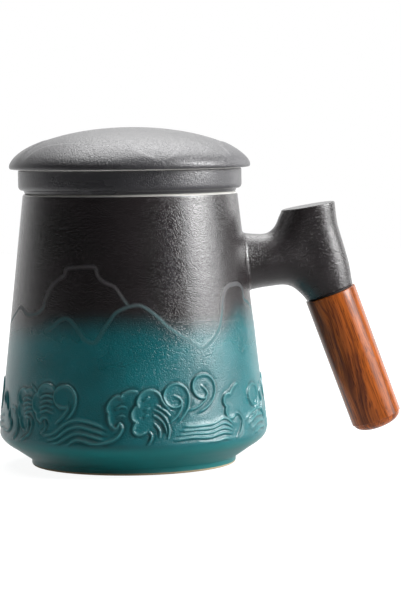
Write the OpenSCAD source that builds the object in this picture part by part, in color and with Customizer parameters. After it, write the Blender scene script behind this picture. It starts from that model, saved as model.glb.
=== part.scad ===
/* [Mug] */
// Height of the mug body, from the foot to the crown of the rim
mug_h = 102.3; // [96:0.1:108]
// Radius of the widest ring, low on the body
belly_r = 50.25; // [48:0.05:53]
// Height of the widest ring
belly_z = 13.4; // [12:0.1:16]
// Outer radius just under the rim
rim_r = 40.5; // [39.5:0.1:41.5]
// Thickness of the fired clay wall
wall = 3.7; // [3:0.1:4.5]
// Outer radius of the foot ring
foot_r = 38.6; // [36:0.1:41]
// Width of the unglazed ring that the mug stands on
foot_w = 4.2; // [3:0.1:6]
// Depth of the recess under the mug
foot_recess = 2.4; // [1.5:0.1:3.5]
// Height of the floor inside the mug
floor_z = 7.6; // [6.5:0.1:9]

/* [Infuser] */
// Outer radius of the collar that shows between mug and lid
collar_r = 42.0; // [41:0.1:43]
// Height of the collar's top face
collar_top = 110.8; // [109:0.1:113]
// Gap in height between the rim and the collar's outer edge
collar_gap = 1.0; // [0.6:0.1:1.6]
// Depth of the lid seat inside the collar
seat_depth = 5.4; // [5:0.1:6]
// Outer radius of the basket at the rim
basket_top_r = 35.9; // [34:0.1:36]
// Outer radius of the basket at its floor
basket_end_r = 31.4; // [28:0.1:33]
// Height of the underside of the basket
basket_z = 31.0; // [25:0.5:45]
// Thickness of the basket wall
basket_wall = 2.6; // [2.2:0.1:3]
// Diameter of each strainer hole
hole_d = 2.2; // [1.6:0.1:2.6]
// Rings of holes in the basket floor, around the centre hole
floor_rings = 4; // [2:1:5]
// Rows of holes up the basket wall
side_rows = 4; // [2:1:6]
// Holes in each row up the wall
row_holes = 20; // [12:1:24]

/* [Lid] */
// Radius of the lid's lip
lid_r = 45.3; // [44:0.1:47]
// Height of the crown of the lid above the table
lid_top = 126.6; // [122:0.1:132]
// Thickness of the lid
lid_wall = 4.2; // [3.5:0.1:5]
// Depth of the ring under the lid that drops into the collar
skirt_depth = 4.6; // [4:0.1:5]
// Radial gap between that ring and the collar
skirt_gap = 0.5; // [0.4:0.1:0.8]

/* [Handle] */
// Height of the arm's axis where it leaves the head
arm_z = 75.7; // [72:0.1:80]
// Radius of the arm
arm_r = 9.4; // [8.5:0.1:10.5]
// Radius of the arm where it is luted to the wall
root_r = 11.1; // [10:0.1:12]
// Radius of the head's flat top
head_r = 9.7; // [9:0.1:10.5]
// Radius of the head's lower face, against the grip
socket_r = 8.95; // [8.5:0.05:9.4]
// Lean of the grip from upright, in degrees
grip_lean = 20; // [16:0.5:24]
// Radius of the grip at its top
grip_r = 9.85; // [9.5:0.05:10.5]
// Radius of the grip at its lower edge
grip_end_r = 9.65; // [9.3:0.05:10]
// Length of the grip's side, without the domed end
grip_l = 51.4; // [45:0.1:60]
// Height of the grip's domed end
dome_h = 3.7; // [3:0.1:5]
// Thickness of the washer between clay and wood
washer_t = 0.5; // [0.4:0.1:1]

/* [Stud] */
// Diameter of the threaded stud
stud_d = 6; // [5:1:6]
// Length of stud held in the clay
stud_in = 13.5; // [12:0.5:14]
// Length of stud that stands out of the clay
stud_out = 13.5; // [12:0.5:14]
// Radial gap between stud and thread insert
thread_gap = 0.05; // [0.02:0.01:0.08]
// Outer diameter of the cement sleeve around the stud
cement_d = 8.4; // [8:0.1:9]
// Outer diameter of the brass insert
insert_d = 9.2; // [8.5:0.1:9.5]
// Length of the brass insert
insert_l = 14; // [13:0.5:16]

/* [Hidden] */
$fn = 96;
overshoot = 1;
curve_steps = 7;

// Points [r, z] of the mug's outer outline.
foot_edge = 1.2;
taper_start = [foot_r, 2.4];
taper_end = [45.0, 6.7];
belly_pull = [belly_r + 0.8, 10.2];
belly_top = [belly_r, belly_z];
rim_edge = 1.9;
rim_side = [rim_r, mug_h - rim_edge];

// Points of the mug's inner outline.
slope = (belly_r - rim_r) / (rim_side.y - belly_z);
inner_rim_r = rim_r - wall;
inner_floor_r = belly_r - wall - 9;
inner_belly = [belly_r - wall - slope * 6, belly_z + 6];

// Collar and basket.
collar_z = mug_h + collar_gap;
collar_edge = 2.0;
collar_in_r = 38.8;
rest_r = 39.6;
ledge_z = collar_top - seat_depth;
basket_in_r = basket_top_r - basket_wall;
basket_floor = basket_z + basket_wall;
basket_slope = (basket_top_r - basket_end_r) / (mug_h - basket_z);
corner = 5;
ring_pitch = 5.4;
first_row = 9;
row_pitch = 6.5;

// Lid.
lip_z = 112.4;
lip_under = 111.3;
dome_power = 0.6;
skirt_r = collar_in_r - skirt_gap;
skirt_t = 3.2;

// Handle: the lower face of the head is centred on head_end, square to the grip's axis.
head_end = [76.1, 63.0];
head_top = [68.5, 96.0];
head_neck = [69.9, 88.0];
head_top_tilt = -9.3;
head_neck_tilt = -4;
neck_r = 9.45;
root = [40, 74.9];
arm_start = [48.5, 75.3];
arm_end = [60, arm_z];
shoulder = [54, arm_z];
disc_t = 0.2;
hull_fn = 48;
dome_edge = 0.5;
socket_depth = stud_in + 0.5;
cement_inset = 0.2;
bore_end = 24;
run_out_d = stud_d + 0.8;

// Points on the curve that leaves p0 towards p1 and arrives at p2.
function bend(p0, p1, p2, n = curve_steps) =
    [for (i = [0:n]) let (t = i / n) pow(1 - t, 2) * p0 + 2 * t * (1 - t) * p1 + t * t * p2];

// Height of the lid's outer face at radius r, for a dome of radius edge_r that rises by rise.
function dome_z(r, edge_r, rise) = rise * pow(1 - pow(r / edge_r, 2), dome_power);

function mug_outline() = concat(
    bend([foot_r - foot_edge, 0], [foot_r, 0], [foot_r, foot_edge], 4),
    [taper_start],
    bend(taper_end, belly_pull, belly_top),
    bend(rim_side, [rim_r, mug_h], [rim_r - rim_edge, mug_h])
);

function mug_inside() = concat(
    bend([inner_rim_r + rim_edge - 0.2, mug_h], [inner_rim_r, mug_h], [inner_rim_r, mug_h - rim_edge]),
    [inner_belly],
    bend([belly_r - wall - 0.8, belly_z + 1.5], [belly_r - wall - 1.5, floor_z], [inner_floor_r, floor_z])
);

module mug_body() {
    recess_r = foot_r - foot_w;
    color([0.10, 0.36, 0.35])
    rotate_extrude()
    polygon(concat(
        [[0, foot_recess], [recess_r - 1.5, foot_recess], [recess_r, 0]],
        mug_outline(), mug_inside(), [[0, floor_z]]
    ));
}

// The mug filled solid, which the arm's root is cut to.
module mug_filled() {
    rotate_extrude()
    polygon(concat([[0, 0]], mug_outline(), [[0, mug_h]]));
}

// A thin round slice of the handle, centred at [x, z] in the handle's plane and tilted about Y.
module slice(at, r, tilt) {
    translate([at.x, 0, at.y]) rotate([0, tilt, 0])
    cylinder(h = disc_t, r = r, center = true, $fn = hull_fn);
}

// The head's lower face, level with the washer.
module head_foot() {
    at_grip() translate([0, 0, -disc_t]) cylinder(h = disc_t, r = socket_r, $fn = hull_fn);
}

module neck() {
    slice(head_neck, neck_r, head_neck_tilt);
}

module arm_and_head() {
    hull() { slice(root, root_r, 90); slice(arm_start, arm_r + 0.4, 90); }
    hull() { slice(arm_start, arm_r + 0.4, 90); slice(arm_end, arm_r, 90); }
    hull() { slice(shoulder, arm_r, 90); slice(head_top, head_r, head_top_tilt); neck(); }
    hull() { slice(arm_end, arm_r, 90); neck(); head_foot(); }
}

// Local frame of the grip: z = 0 on the clay, +z down the grip's axis.
module at_grip() {
    translate([head_end.x, 0, head_end.y]) rotate([0, 180 - grip_lean, 0]) children();
}

module handle_arm() {
    color([0.13, 0.13, 0.14])
    difference() {
        arm_and_head();
        mug_filled();
        at_grip() translate([0, 0, -socket_depth]) cylinder(h = socket_depth + overshoot, d = cement_d);
    }
}

module stud_cement() {
    color([0.72, 0.70, 0.66])
    at_grip() difference() {
        translate([0, 0, -socket_depth]) cylinder(h = socket_depth - cement_inset, d = cement_d);
        translate([0, 0, -stud_in]) cylinder(h = stud_in + overshoot, d = stud_d);
    }
}

module grip_stud() {
    color([0.75, 0.75, 0.77])
    at_grip() translate([0, 0, -stud_in]) cylinder(h = stud_in + stud_out, d = stud_d);
}

module grip_washer() {
    color([0.05, 0.05, 0.05])
    at_grip() difference() {
        cylinder(h = washer_t, r = socket_r - 0.35);
        translate([0, 0, -overshoot]) cylinder(h = washer_t + 2 * overshoot, d = stud_d + 0.2);
    }
}

module thread_insert() {
    color([0.78, 0.62, 0.30])
    at_grip() translate([0, 0, washer_t]) difference() {
        cylinder(h = insert_l, d = insert_d);
        translate([0, 0, -overshoot])
        cylinder(h = insert_l + 2 * overshoot, r = stud_d / 2 + thread_gap);
    }
}

module wooden_grip() {
    dome_r = grip_end_r - dome_edge;
    color([0.48, 0.20, 0.09])
    at_grip() translate([0, 0, washer_t]) difference() {
        rotate_extrude()
        polygon(concat(
            [[0, 0], [grip_r - 0.5, 0], [grip_r, 0.5], [grip_end_r, grip_l], [dome_r, grip_l]],
            [for (i = [1:curve_steps * 2]) let (a = 90 * i / (curve_steps * 2))
                [dome_r * pow(cos(a), 0.8), grip_l + dome_h * sin(a)]]
        ));
        translate([0, 0, -overshoot]) cylinder(h = insert_l + overshoot, d = insert_d);
        cylinder(h = bore_end, d = run_out_d);
    }
}

// Collar, seat and basket as one outline, before the holes.
module infuser_blank() {
    inside_r = basket_end_r - basket_wall;
    rotate_extrude()
    polygon(concat(
        [[0, basket_z]],
        bend([basket_end_r - corner, basket_z], [basket_end_r, basket_z],
             [basket_end_r + basket_slope * corner, basket_z + corner]),
        [[basket_top_r, mug_h], [rest_r, mug_h], [rest_r + 0.4, collar_z]],
        bend([collar_r - collar_edge, collar_z], [collar_r, collar_z], [collar_r, collar_z + collar_edge]),
        [[collar_r, collar_top - 0.4], [collar_r - 0.4, collar_top]],
        [[collar_in_r, collar_top], [collar_in_r, ledge_z], [basket_in_r + 0.8, ledge_z]],
        [[basket_in_r, ledge_z - 1.5]],
        bend([inside_r + basket_slope * corner, basket_floor + corner], [inside_r, basket_floor],
             [inside_r - corner, basket_floor]),
        [[0, basket_floor]]
    ));
}

module floor_holes() {
    for (ring = [0:floor_rings], i = [0:max(6 * ring, 1) - 1])
        rotate([0, 0, 360 * i / max(6 * ring, 1)])
        translate([ring * ring_pitch, 0, basket_z - overshoot])
        cylinder(h = basket_wall + 2 * overshoot, d = hole_d, $fn = 24);
}

module side_holes() {
    for (row = [0:side_rows - 1], i = [0:row_holes - 1])
        rotate([0, 0, 360 * (i + row % 2 / 2) / row_holes])
        translate([basket_end_r - 2 * basket_wall, 0, basket_z + first_row + row * row_pitch])
        rotate([0, 90, 0])
        cylinder(h = 4 * basket_wall, d = hole_d, $fn = 24);
}

module infuser() {
    color([0.14, 0.14, 0.15])
    difference() {
        infuser_blank();
        floor_holes();
        side_holes();
    }
}

module lid() {
    steps = 16;
    rise = lid_top - lip_z;
    in_r = skirt_r - skirt_t;
    in_rise = rise - lid_wall + 1;
    color([0.30, 0.30, 0.31])
    rotate_extrude()
    polygon(concat(
        [for (i = [0:steps]) let (r = lid_r * sin(90 * i / steps)) [r, lip_z + dome_z(r, lid_r, rise)]],
        [[lid_r - 0.5, lip_under + 0.2], [collar_r + 0.4, collar_top], [skirt_r, collar_top]],
        [[skirt_r, collar_top - skirt_depth], [in_r, collar_top - skirt_depth]],
        [for (i = [0:steps / 2]) let (r = in_r * cos(90 * i / (steps / 2)))
            [r, lid_top - lid_wall - in_rise + dome_z(r, in_r + 2, in_rise)]]
    ));
}

mug_body();
handle_arm();
stud_cement();
grip_stud();
grip_washer();
thread_insert();
wooden_grip();
infuser();
lid();
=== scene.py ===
"""A lidded tea mug with an infuser, in glazed stoneware, with a turned wooden grip."""

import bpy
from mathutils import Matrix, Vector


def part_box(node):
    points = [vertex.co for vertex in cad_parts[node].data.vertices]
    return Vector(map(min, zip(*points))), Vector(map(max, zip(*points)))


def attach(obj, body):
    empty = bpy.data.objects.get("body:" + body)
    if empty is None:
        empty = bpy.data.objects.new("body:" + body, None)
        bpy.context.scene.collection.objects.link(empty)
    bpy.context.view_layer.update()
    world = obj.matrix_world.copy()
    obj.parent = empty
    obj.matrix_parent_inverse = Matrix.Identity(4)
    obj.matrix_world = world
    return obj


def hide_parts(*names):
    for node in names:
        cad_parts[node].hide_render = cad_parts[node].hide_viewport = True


bl_info = {
    "name": "Lidded Tea Mug",
    "version": (1, 0, 0),
    "blender": (4, 5, 0),
    "location": "3D View > Sidebar > Tea Mug",
    "description": "Builds the finished pieces of a lidded tea mug around its packed frame",
    "category": "Add Mesh",
}

from math import ceil, cos, dist, pi, radians, sin, sqrt

import bmesh
import bpy
import numpy as np
from bpy.props import FloatProperty, FloatVectorProperty, IntProperty, PointerProperty
from mathutils import Matrix, Vector

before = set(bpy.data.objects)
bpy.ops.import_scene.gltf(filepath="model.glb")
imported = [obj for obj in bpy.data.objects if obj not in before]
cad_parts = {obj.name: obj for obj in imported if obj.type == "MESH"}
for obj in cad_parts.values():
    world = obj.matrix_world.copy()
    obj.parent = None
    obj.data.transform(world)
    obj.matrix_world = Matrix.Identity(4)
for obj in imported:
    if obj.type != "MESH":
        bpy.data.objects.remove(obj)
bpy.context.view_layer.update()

MM = 0.001
FULL_TURN = 2 * pi
UP = Vector((0, 0, 1))

# The side of the mug that faces the camera, as an angle about Z from +X.
FRONT = radians(-98)

MUG_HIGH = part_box("mug_body")[1]
ARM_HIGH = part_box("handle_arm")[1]
INFUSER_LOW, INFUSER_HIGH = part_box("infuser")
LID_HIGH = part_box("lid")[1]


# --- Properties ---------------------------------------------------------------------------


def length(name, about, default):
    """A length property in metres."""
    return FloatProperty(name=name, description=about, default=default, min=0, unit="LENGTH")


def colour(name, about, default):
    """A linear colour property."""
    return FloatVectorProperty(
        name=name, description=about, default=default, size=3, min=0, max=1, subtype="COLOR"
    )


class MugSizes(bpy.types.PropertyGroup):
    height: length("Height", "Height of the mug from foot to rim", MUG_HIGH.z)
    belly_radius: length("Belly radius", "Radius of the widest ring", MUG_HIGH.x)
    belly_height: length("Belly height", "Height of the widest ring", 0.0134)
    rim_radius: length("Rim radius", "Outer radius just under the rim", 0.0405)
    wall: length("Wall", "Thickness of the fired wall", 0.0037)
    foot_radius: length("Foot radius", "Outer radius of the foot ring", 0.0386)
    foot_width: length("Foot width", "Width of the ring that the mug stands on", 0.0042)
    foot_recess: length("Foot recess", "Depth of the recess under the mug", 0.0024)
    floor_height: length("Floor height", "Height of the floor inside", 0.0076)
    wave_height: length("Wave height", "How far the wave lines stand out", 0.00052)
    ridge_height: length("Ridge height", "How far each mountain stands out", 0.00013)
    ridge_bead: length("Ridge line", "How far the line along a ridge stands out", 0.00003)
    columns: IntProperty(name="Columns", description="Faces round the wall", default=300, min=64)


class HandleSizes(bpy.types.PropertyGroup):
    head_radius: length("Head radius", "Radius of the head's flat top", 0.0097)
    socket_radius: length("Socket radius", "Radius of the head's lower face", 0.00895)
    arm_radius: length("Arm radius", "Radius of the arm near the head", 0.0094)
    root_radius: length("Root radius", "Radius of the arm where it meets the wall", 0.0111)
    grip_radius: length("Grip radius", "Radius of the grip at its top", 0.00985)
    grip_end_radius: length("Grip end radius", "Radius of the grip at its end", 0.00965)
    grip_length: length("Grip length", "Length of the grip's side", 0.0514)
    dome_height: length("Dome height", "Height of the grip's domed end", 0.0037)
    stud_radius: length("Stud radius", "Outer radius of the thread", 0.003)
    thread_pitch: length("Thread pitch", "Distance between turns of the thread", 0.001)


class InfuserSizes(bpy.types.PropertyGroup):
    collar_radius: length("Collar radius", "Outer radius of the collar", INFUSER_HIGH.x)
    collar_top: length("Collar top", "Height of the collar's top face", INFUSER_HIGH.z)
    seat_depth: length("Seat depth", "Depth of the lid's seat", 0.0054)
    basket_radius: length("Basket radius", "Outer radius of the basket at the rim", 0.0359)
    basket_end_radius: length("Basket end radius", "Outer radius at the basket's floor", 0.0314)
    basket_height: length("Basket height", "Height of the basket's underside", INFUSER_LOW.z)
    basket_wall: length("Basket wall", "Thickness of the basket", 0.0026)
    hole_radius: length("Hole radius", "Radius of each strainer hole", 0.0011)


class LidSizes(bpy.types.PropertyGroup):
    radius: length("Radius", "Radius of the lip", LID_HIGH.x)
    top: length("Top", "Height of the crown", LID_HIGH.z)
    lip_height: length("Lip height", "Height of the lip's widest edge", 0.1124)
    thickness: length("Thickness", "Thickness of the dome", 0.0042)
    ring_radius: length("Ring radius", "Outer radius of the ring underneath", 0.0383)
    ring_thickness: length("Ring thickness", "Thickness of that ring", 0.0032)
    ridge_height: length("Ridge height", "How far the mountains stand out", 0.00028)


class Finishes(bpy.types.PropertyGroup):
    black: colour("Black glaze", "Glaze on the upper wall and the arm", (0.020, 0.0165, 0.0175))
    teal: colour("Teal glaze", "Glaze on the lower wall", (0.0004, 0.138, 0.157))
    liner: colour("White glaze", "Glaze inside the mug and the basket", (0.63, 0.62, 0.59))
    clay: colour("Bare clay", "Unglazed foot ring", (0.60, 0.46, 0.29))
    lid: colour("Lid glaze", "Glaze on the lid and the collar", (0.041, 0.040, 0.045))
    wood: colour("Wood", "Light part of the grain", (0.37, 0.088, 0.013))
    dark_wood: colour("Dark wood", "Dark streaks of the grain", (0.075, 0.018, 0.009))
    rubber: colour("Rubber", "Washer between clay and wood", (0.010, 0.010, 0.010))
    steel: colour("Steel", "Threaded stud", (0.62, 0.62, 0.64))
    brass: colour("Brass", "Thread insert", (0.72, 0.50, 0.20))
    cement: colour("Cement", "Sleeve round the stud", (0.50, 0.47, 0.42))
    fade_height: length("Fade height", "Height where black turns to teal", 0.0545)


# --- Outlines and meshes ------------------------------------------------------------------


def bend(start, pull, end, steps=8):
    """Points of the curve that leaves start towards pull and arrives at end."""
    points = []
    for i in range(steps + 1):
        t = i / steps
        weights = ((1 - t) ** 2, 2 * t * (1 - t), t * t)
        points.append(tuple(np.dot(weights, (start, pull, end))))
    return points


def spaced(points, step):
    """The same outline, with no stretch longer than step."""
    out = [points[0]]
    for a, b in zip(points, points[1:]):
        parts = max(1, ceil(dist(a, b) / step))
        for i in range(1, parts + 1):
            out.append(tuple(np.add(a, np.subtract(b, a) * i / parts)))
    return out


def turned(outline, steps, closed=False):
    """A bmesh turned about Z from an outline of (radius, height)."""
    bm = bmesh.new()
    verts = [bm.verts.new((r, 0, z)) for r, z in outline]
    for a, b in zip(verts, verts[1:]):
        bm.edges.new((a, b))
    if closed:
        bm.edges.new((verts[-1], verts[0]))
    bmesh.ops.spin(
        bm, geom=bm.verts[:] + bm.edges[:], cent=(0, 0, 0), axis=UP, dvec=(0, 0, 0),
        angle=FULL_TURN, steps=steps, use_merge=True,
    )
    bmesh.ops.remove_doubles(bm, verts=bm.verts, dist=MM / 1000)
    bmesh.ops.recalc_face_normals(bm, faces=bm.faces)
    return bm


def finished(bm, name, body, materials, nodes, sharp=50):
    """Makes a piece of a bmesh, gives it its finishes and hangs it on its body."""
    mesh = bpy.data.meshes.new(name)
    bm.to_mesh(mesh)
    bm.free()
    for material in materials:
        mesh.materials.append(material)
    mesh.shade_smooth()
    mesh.set_sharp_from_angle(angle=radians(sharp))
    piece = bpy.data.objects.new(name, mesh)
    bpy.context.scene.collection.objects.link(piece)
    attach(piece, body)
    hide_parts(*nodes)
    return piece


def coordinates(mesh):
    """The mesh's points as an array of rows."""
    flat = np.empty(len(mesh.vertices) * 3)
    mesh.vertices.foreach_get("co", flat)
    return flat.reshape(-1, 3)


def point_normals(mesh):
    """The mesh's point normals as an array of rows."""
    flat = np.empty(len(mesh.vertices) * 3)
    mesh.vertex_normals.foreach_get("vector", flat)
    return flat.reshape(-1, 3)


def raise_points(mesh, heights):
    """Moves each point out along its normal, by its own height."""
    moved = coordinates(mesh) + point_normals(mesh) * heights[:, None]
    mesh.vertices.foreach_set("co", moved.ravel())
    mesh.update()


def store(mesh, name, values):
    """Keeps one number for each point, for the material to read."""
    layer = mesh.attributes.new(name, "FLOAT", "POINT")
    layer.data.foreach_set("value", values.astype(np.float32))


# --- Relief lines -------------------------------------------------------------------------
# The wall's ornament is drawn on the wall unrolled flat: u runs round it to the right and
# z runs up, both in millimetres, and u = 0 is the front. PITCH turns u into an angle.

PITCH = 48.0
GIRTH = FULL_TURN * PITCH
REPEATS = 2

# Widths of a raised line's sides, and of the groove beside a steep side.
STEEP = 0.58
ROLLED = 0.85
SHEET = 1.3
PLATEAU = 1.3
GROOVE = 0.38
GROOVE_DEPTH = 0.5


def flow(points, per_span=6):
    """A smooth line through a few points."""
    p = np.array(points, float)
    p = np.vstack((2 * p[0] - p[1], p, 2 * p[-1] - p[-2]))
    t = np.linspace(0, 1, per_span, endpoint=False)[:, None]
    spans = []
    for a, b, c, d in zip(p, p[1:], p[2:], p[3:]):
        cubic = (3 * b - a - 3 * c + d) * t**3
        spans.append((2 * b + (c - a) * t + (2 * a - 5 * b + 4 * c - d) * t**2 + cubic) / 2)
    return np.vstack((*spans, p[-2]))


def scallops(*cusps):
    """A cloud's edge: from each cusp (u, z, bulge) a lobe that stands out to the right."""
    s = np.linspace(0, pi, 12, endpoint=False)[:, None]
    lobes = []
    for (u0, z0, bulge), (u1, z1, *_) in zip(cusps, cusps[1:]):
        chord = np.array((u1 - u0, z1 - z0))
        across = np.array((chord[1], -chord[0])) / np.hypot(*chord)
        lobes.append((u0, z0) + chord * (1 - np.cos(s)) / 2 + across * bulge * np.sin(s))
    return np.vstack((*lobes, cusps[-1][:2]))


def ripples(first, last, count):
    """Lines that change evenly from the first to the last."""
    first, last = flow(first), flow(last)
    return [first + (last - first) * i / (count - 1) for i in range(count)]


# A curl of radius 1: the line that winds out of the eye, and the one inside its tail.
CURL = (
    (-0.22, 0.05), (0.03, -0.06), (0.28, -0.2), (0.4, -0.48), (0.2, -0.78), (-0.3, -0.85),
    (-0.8, -0.57), (-1.03, -0.08), (-0.98, 0.35), (-0.72, 0.7), (-0.22, 0.94), (0.33, 0.92),
    (0.8, 0.57), (1.03, 0.02), (1.02, -0.52), (0.86, -1.03), (0.52, -1.52), (0.08, -1.95),
)
CURL_TAIL = ((0.4, -0.42), (0.38, -0.85), (0.12, -1.3), (-0.25, -1.72), (-0.75, -2.1))


def curl(u, z, radius, lean=0, first=0):
    """A breaking wave's curl, leaning clockwise by so many degrees, from its first point on."""
    turn = radians(lean)
    turned_by = np.array(((cos(turn), -sin(turn)), (sin(turn), cos(turn))))
    place = [flow(part) @ turned_by * radius + (u, z) for part in (CURL[first:], CURL_TAIL)]
    return [(place[0], STEEP, ROLLED), (place[1], STEEP, ROLLED)]


def lines(*drawn, left=STEEP, right=STEEP):
    """Raised lines with the same sides."""
    return [(line, left, right) for line in drawn]


def heads():
    """Spray heads: a scalloped edge round a low plateau."""
    return lines(
        scallops((-28.7, 31.3, 3.0), (-36.5, 30.4, 2.7), (-36.5, 23.4, 1.1), (-34.3, 20.7, -1.3),
                 (-30.6, 20.4)),
        scallops((-39.3, 31.2, 0.6), (-43.3, 30.8, 3.1), (-46.9, 26.0, 1.5), (-45.9, 20.4, 0.9),
                 (-43.3, 16.9)),
        scallops((2.9, 31.4, 1.2), (-2.9, 30.0, 2.4), (-7.3, 23.9, 0.6), (-6.2, 19.0)),
        scallops((14.1, 25.3, -0.4), (11.2, 29.7, 4.1), (2.9, 26.4, 1.9), (2.2, 20.8, 3.3),
                 (5.7, 17.5)),
        scallops((45.4, 32.3, 0.9), (40.2, 29.0, 2.4), (37.8, 24.4, 3.0), (42.3, 21.4)),
        left=PLATEAU,
    )


def head_ripples():
    """The lines inside the spray heads."""
    return lines(
        *ripples(((-35.3, 29.1), (-32.5, 29.9), (-29.4, 29.5)),
                 ((-35.1, 23.6), (-32.4, 24.5), (-29.1, 24.0)), 4),
        *ripples(((-45.2, 27.7), (-42.8, 28.5), (-40.0, 27.9)),
                 ((-43.6, 22.3), (-41.8, 23.3), (-39.6, 23.7)), 4),
        *ripples(((-4.9, 25.6), (-3.1, 26.5), (-1.3, 26.2)),
                 ((-4.2, 22.6), (-2.7, 23.1), (-1.8, 22.8)), 2),
        flow(((9.8, 30.9), (11.2, 29.9), (11.5, 28.4), (12.1, 27.3), (13.3, 26.2), (14.6, 25.3))),
        flow(((9.4, 26.6), (10.6, 25.9), (11.9, 25.1), (13.2, 24.0), (14.0, 23.0))),
        flow(((8.5, 25.0), (10.8, 24.0), (12.6, 21.9), (13.5, 19.7), (13.7, 17.3), (13.2, 14.8))),
        flow(((8.4, 23.0), (10.2, 22.0), (11.9, 20.1), (12.6, 17.9), (12.8, 16.2))),
        flow(((8.5, 20.2), (9.8, 18.8), (10.4, 17.4), (10.2, 15.5))),
        flow(((5.3, 28.6), (6.9, 29.5))),
        flow(((5.6, 25.1), (6.8, 25.7))),
        flow(((5.2, 22.6), (6.3, 23.3))),
    )


def curls():
    """The breaking waves, from left to right."""
    return [
        *curl(-24.3, 29.5, 4.4, 0, 3),
        *curl(17.0, 29.6, 4.6),
        *curl(28.3, 32.2, 4.8, 22),
        *curl(56.4, 27.0, 4.2, 10, 2),
        *curl(76.5, 28.5, 4.8, 8),
    ]


def hooks():
    """Single lines that close the heads and lead into the streams."""
    return lines(
        flow(((-32.7, 20.8), (-32.0, 19.4), (-32.5, 17.6), (-33.9, 16.3))),
        flow(((-40.7, 33.2), (-38.9, 31.7), (-36.7, 29.5))),
        flow(((-43.1, 21.4), (-41.6, 21.7), (-39.6, 20.7), (-38.8, 18.5), (-40.2, 15.5),
              (-45.1, 12.6))),
        flow(((-41.4, 20.1), (-40.8, 18.3), (-41.6, 16.8))),
        flow(((-53.9, 24.3), (-50.9, 23.9), (-49.1, 22.7), (-47.4, 19.0), (-47.8, 15.1),
              (-50.7, 12.6))),
        flow(((-55.5, 23.0), (-55.5, 20.2), (-53.2, 18.5), (-53.3, 16.4), (-56.2, 14.7),
              (-61.5, 15.0))),
        flow(((-57.6, 22.3), (-59.6, 27.1), (-61.8, 28.8), (-62.9, 26.8), (-61.5, 24.3))),
        flow(((6.6, 17.4), (7.5, 16.2), (7.2, 14.4), (6.0, 12.9))),
        flow(((43.1, 21.8), (44.5, 21.1), (45.9, 18.6), (44.6, 15.2), (42.2, 12.7))),
        flow(((66.0, 31.0), (63.8, 27.5), (65.2, 24.0), (63.9, 20.8), (66.5, 17.8))),
    )


def streams():
    """Sheets of running water, each line lapping over the one below."""
    return lines(
        *ripples(((-32.5, 15.5), (-28.1, 16.5), (-23.0, 20.4), (-18.0, 21.4), (-12.0, 19.9),
                  (-8.5, 18.5)),
                 ((-29.0, 12.6), (-26.0, 13.3), (-22.5, 15.4), (-18.5, 16.7), (-12.5, 15.4),
                  (-8.9, 14.3)), 3),
        flow(((-23.0, 12.2), (-18.9, 14.4), (-13.5, 13.2), (-9.4, 13.3), (-5.0, 15.0),
              (-2.6, 18.4), (-3.4, 20.5), (-4.9, 18.9), (-6.7, 19.9))),
        *ripples(((19.3, 18.6), (25.0, 18.5), (31.2, 18.8), (36.5, 20.3), (41.0, 17.5)),
                 ((15.8, 13.9), (22.0, 14.5), (29.0, 14.1), (35.0, 15.1), (39.6, 14.6)), 4),
        flow(((29.0, 11.9), (32.7, 12.4), (35.7, 13.0), (38.6, 12.8))),
        *ripples(((48.6, 18.6), (52.2, 20.8), (57.5, 21.8), (63.5, 21.2)),
                 ((54.6, 12.9), (57.4, 14.2), (61.0, 14.6), (65.0, 14.0)), 4),
        *ripples(((67.0, 16.8), (72.0, 20.3), (78.0, 21.0), (84.0, 19.6), (88.5, 20.0)),
                 ((69.5, 13.0), (74.0, 15.3), (79.0, 16.2), (84.5, 15.2), (88.0, 15.4)), 3),
        left=SHEET,
    )


# Mountain ridges, from left to right; the wall below each line stands out.
MOUNTAINS = (
    ((-72.0, 52.0), (-67.8, 53.8), (-59.0, 58.0), (-55.0, 60.3), (-52.6, 60.6), (-50.2, 59.6),
     (-47.0, 58.4), (-41.1, 58.9), (-37.3, 61.0), (-35.9, 64.9), (-33.1, 69.1),
     (-29.6, 71.7), (-26.8, 73.2), (-25.7, 75.6), (-18.7, 76.3), (-13.4, 76.2), (-12.2, 73.4),
     (-9.6, 71.0), (-5.4, 69.3), (-3.1, 66.6), (-0.4, 63.0), (0.8, 61.6)),
    ((-35.6, 52.6), (-31.3, 54.7), (-28.0, 57.0), (-25.6, 57.7), (-23.3, 57.1), (-20.4, 54.4),
     (-17.6, 51.0), (-15.2, 49.3), (-13.0, 49.3), (-11.3, 50.9), (-9.3, 54.3), (-7.2, 57.1),
     (-4.7, 60.0), (-0.4, 61.9), (4.0, 62.6), (7.6, 61.0), (11.7, 57.9), (15.1, 54.6),
     (19.8, 51.5), (24.7, 48.6), (28.6, 46.3), (32.3, 47.8), (37.5, 52.4), (40.1, 57.7),
     (41.8, 63.8), (44.6, 67.3), (49.1, 68.3), (54.0, 68.2), (57.8, 66.3), (58.4, 62.4),
     (63.0, 60.9), (68.0, 58.4), (73.0, 53.4), (78.8, 52.0)),
)
BEVEL = 2.4
RIBBON = 0.95
FADE = 15.0
RIDGE_END = 2.0
LAND_END = 6.0
LINE_END = 1.6


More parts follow.
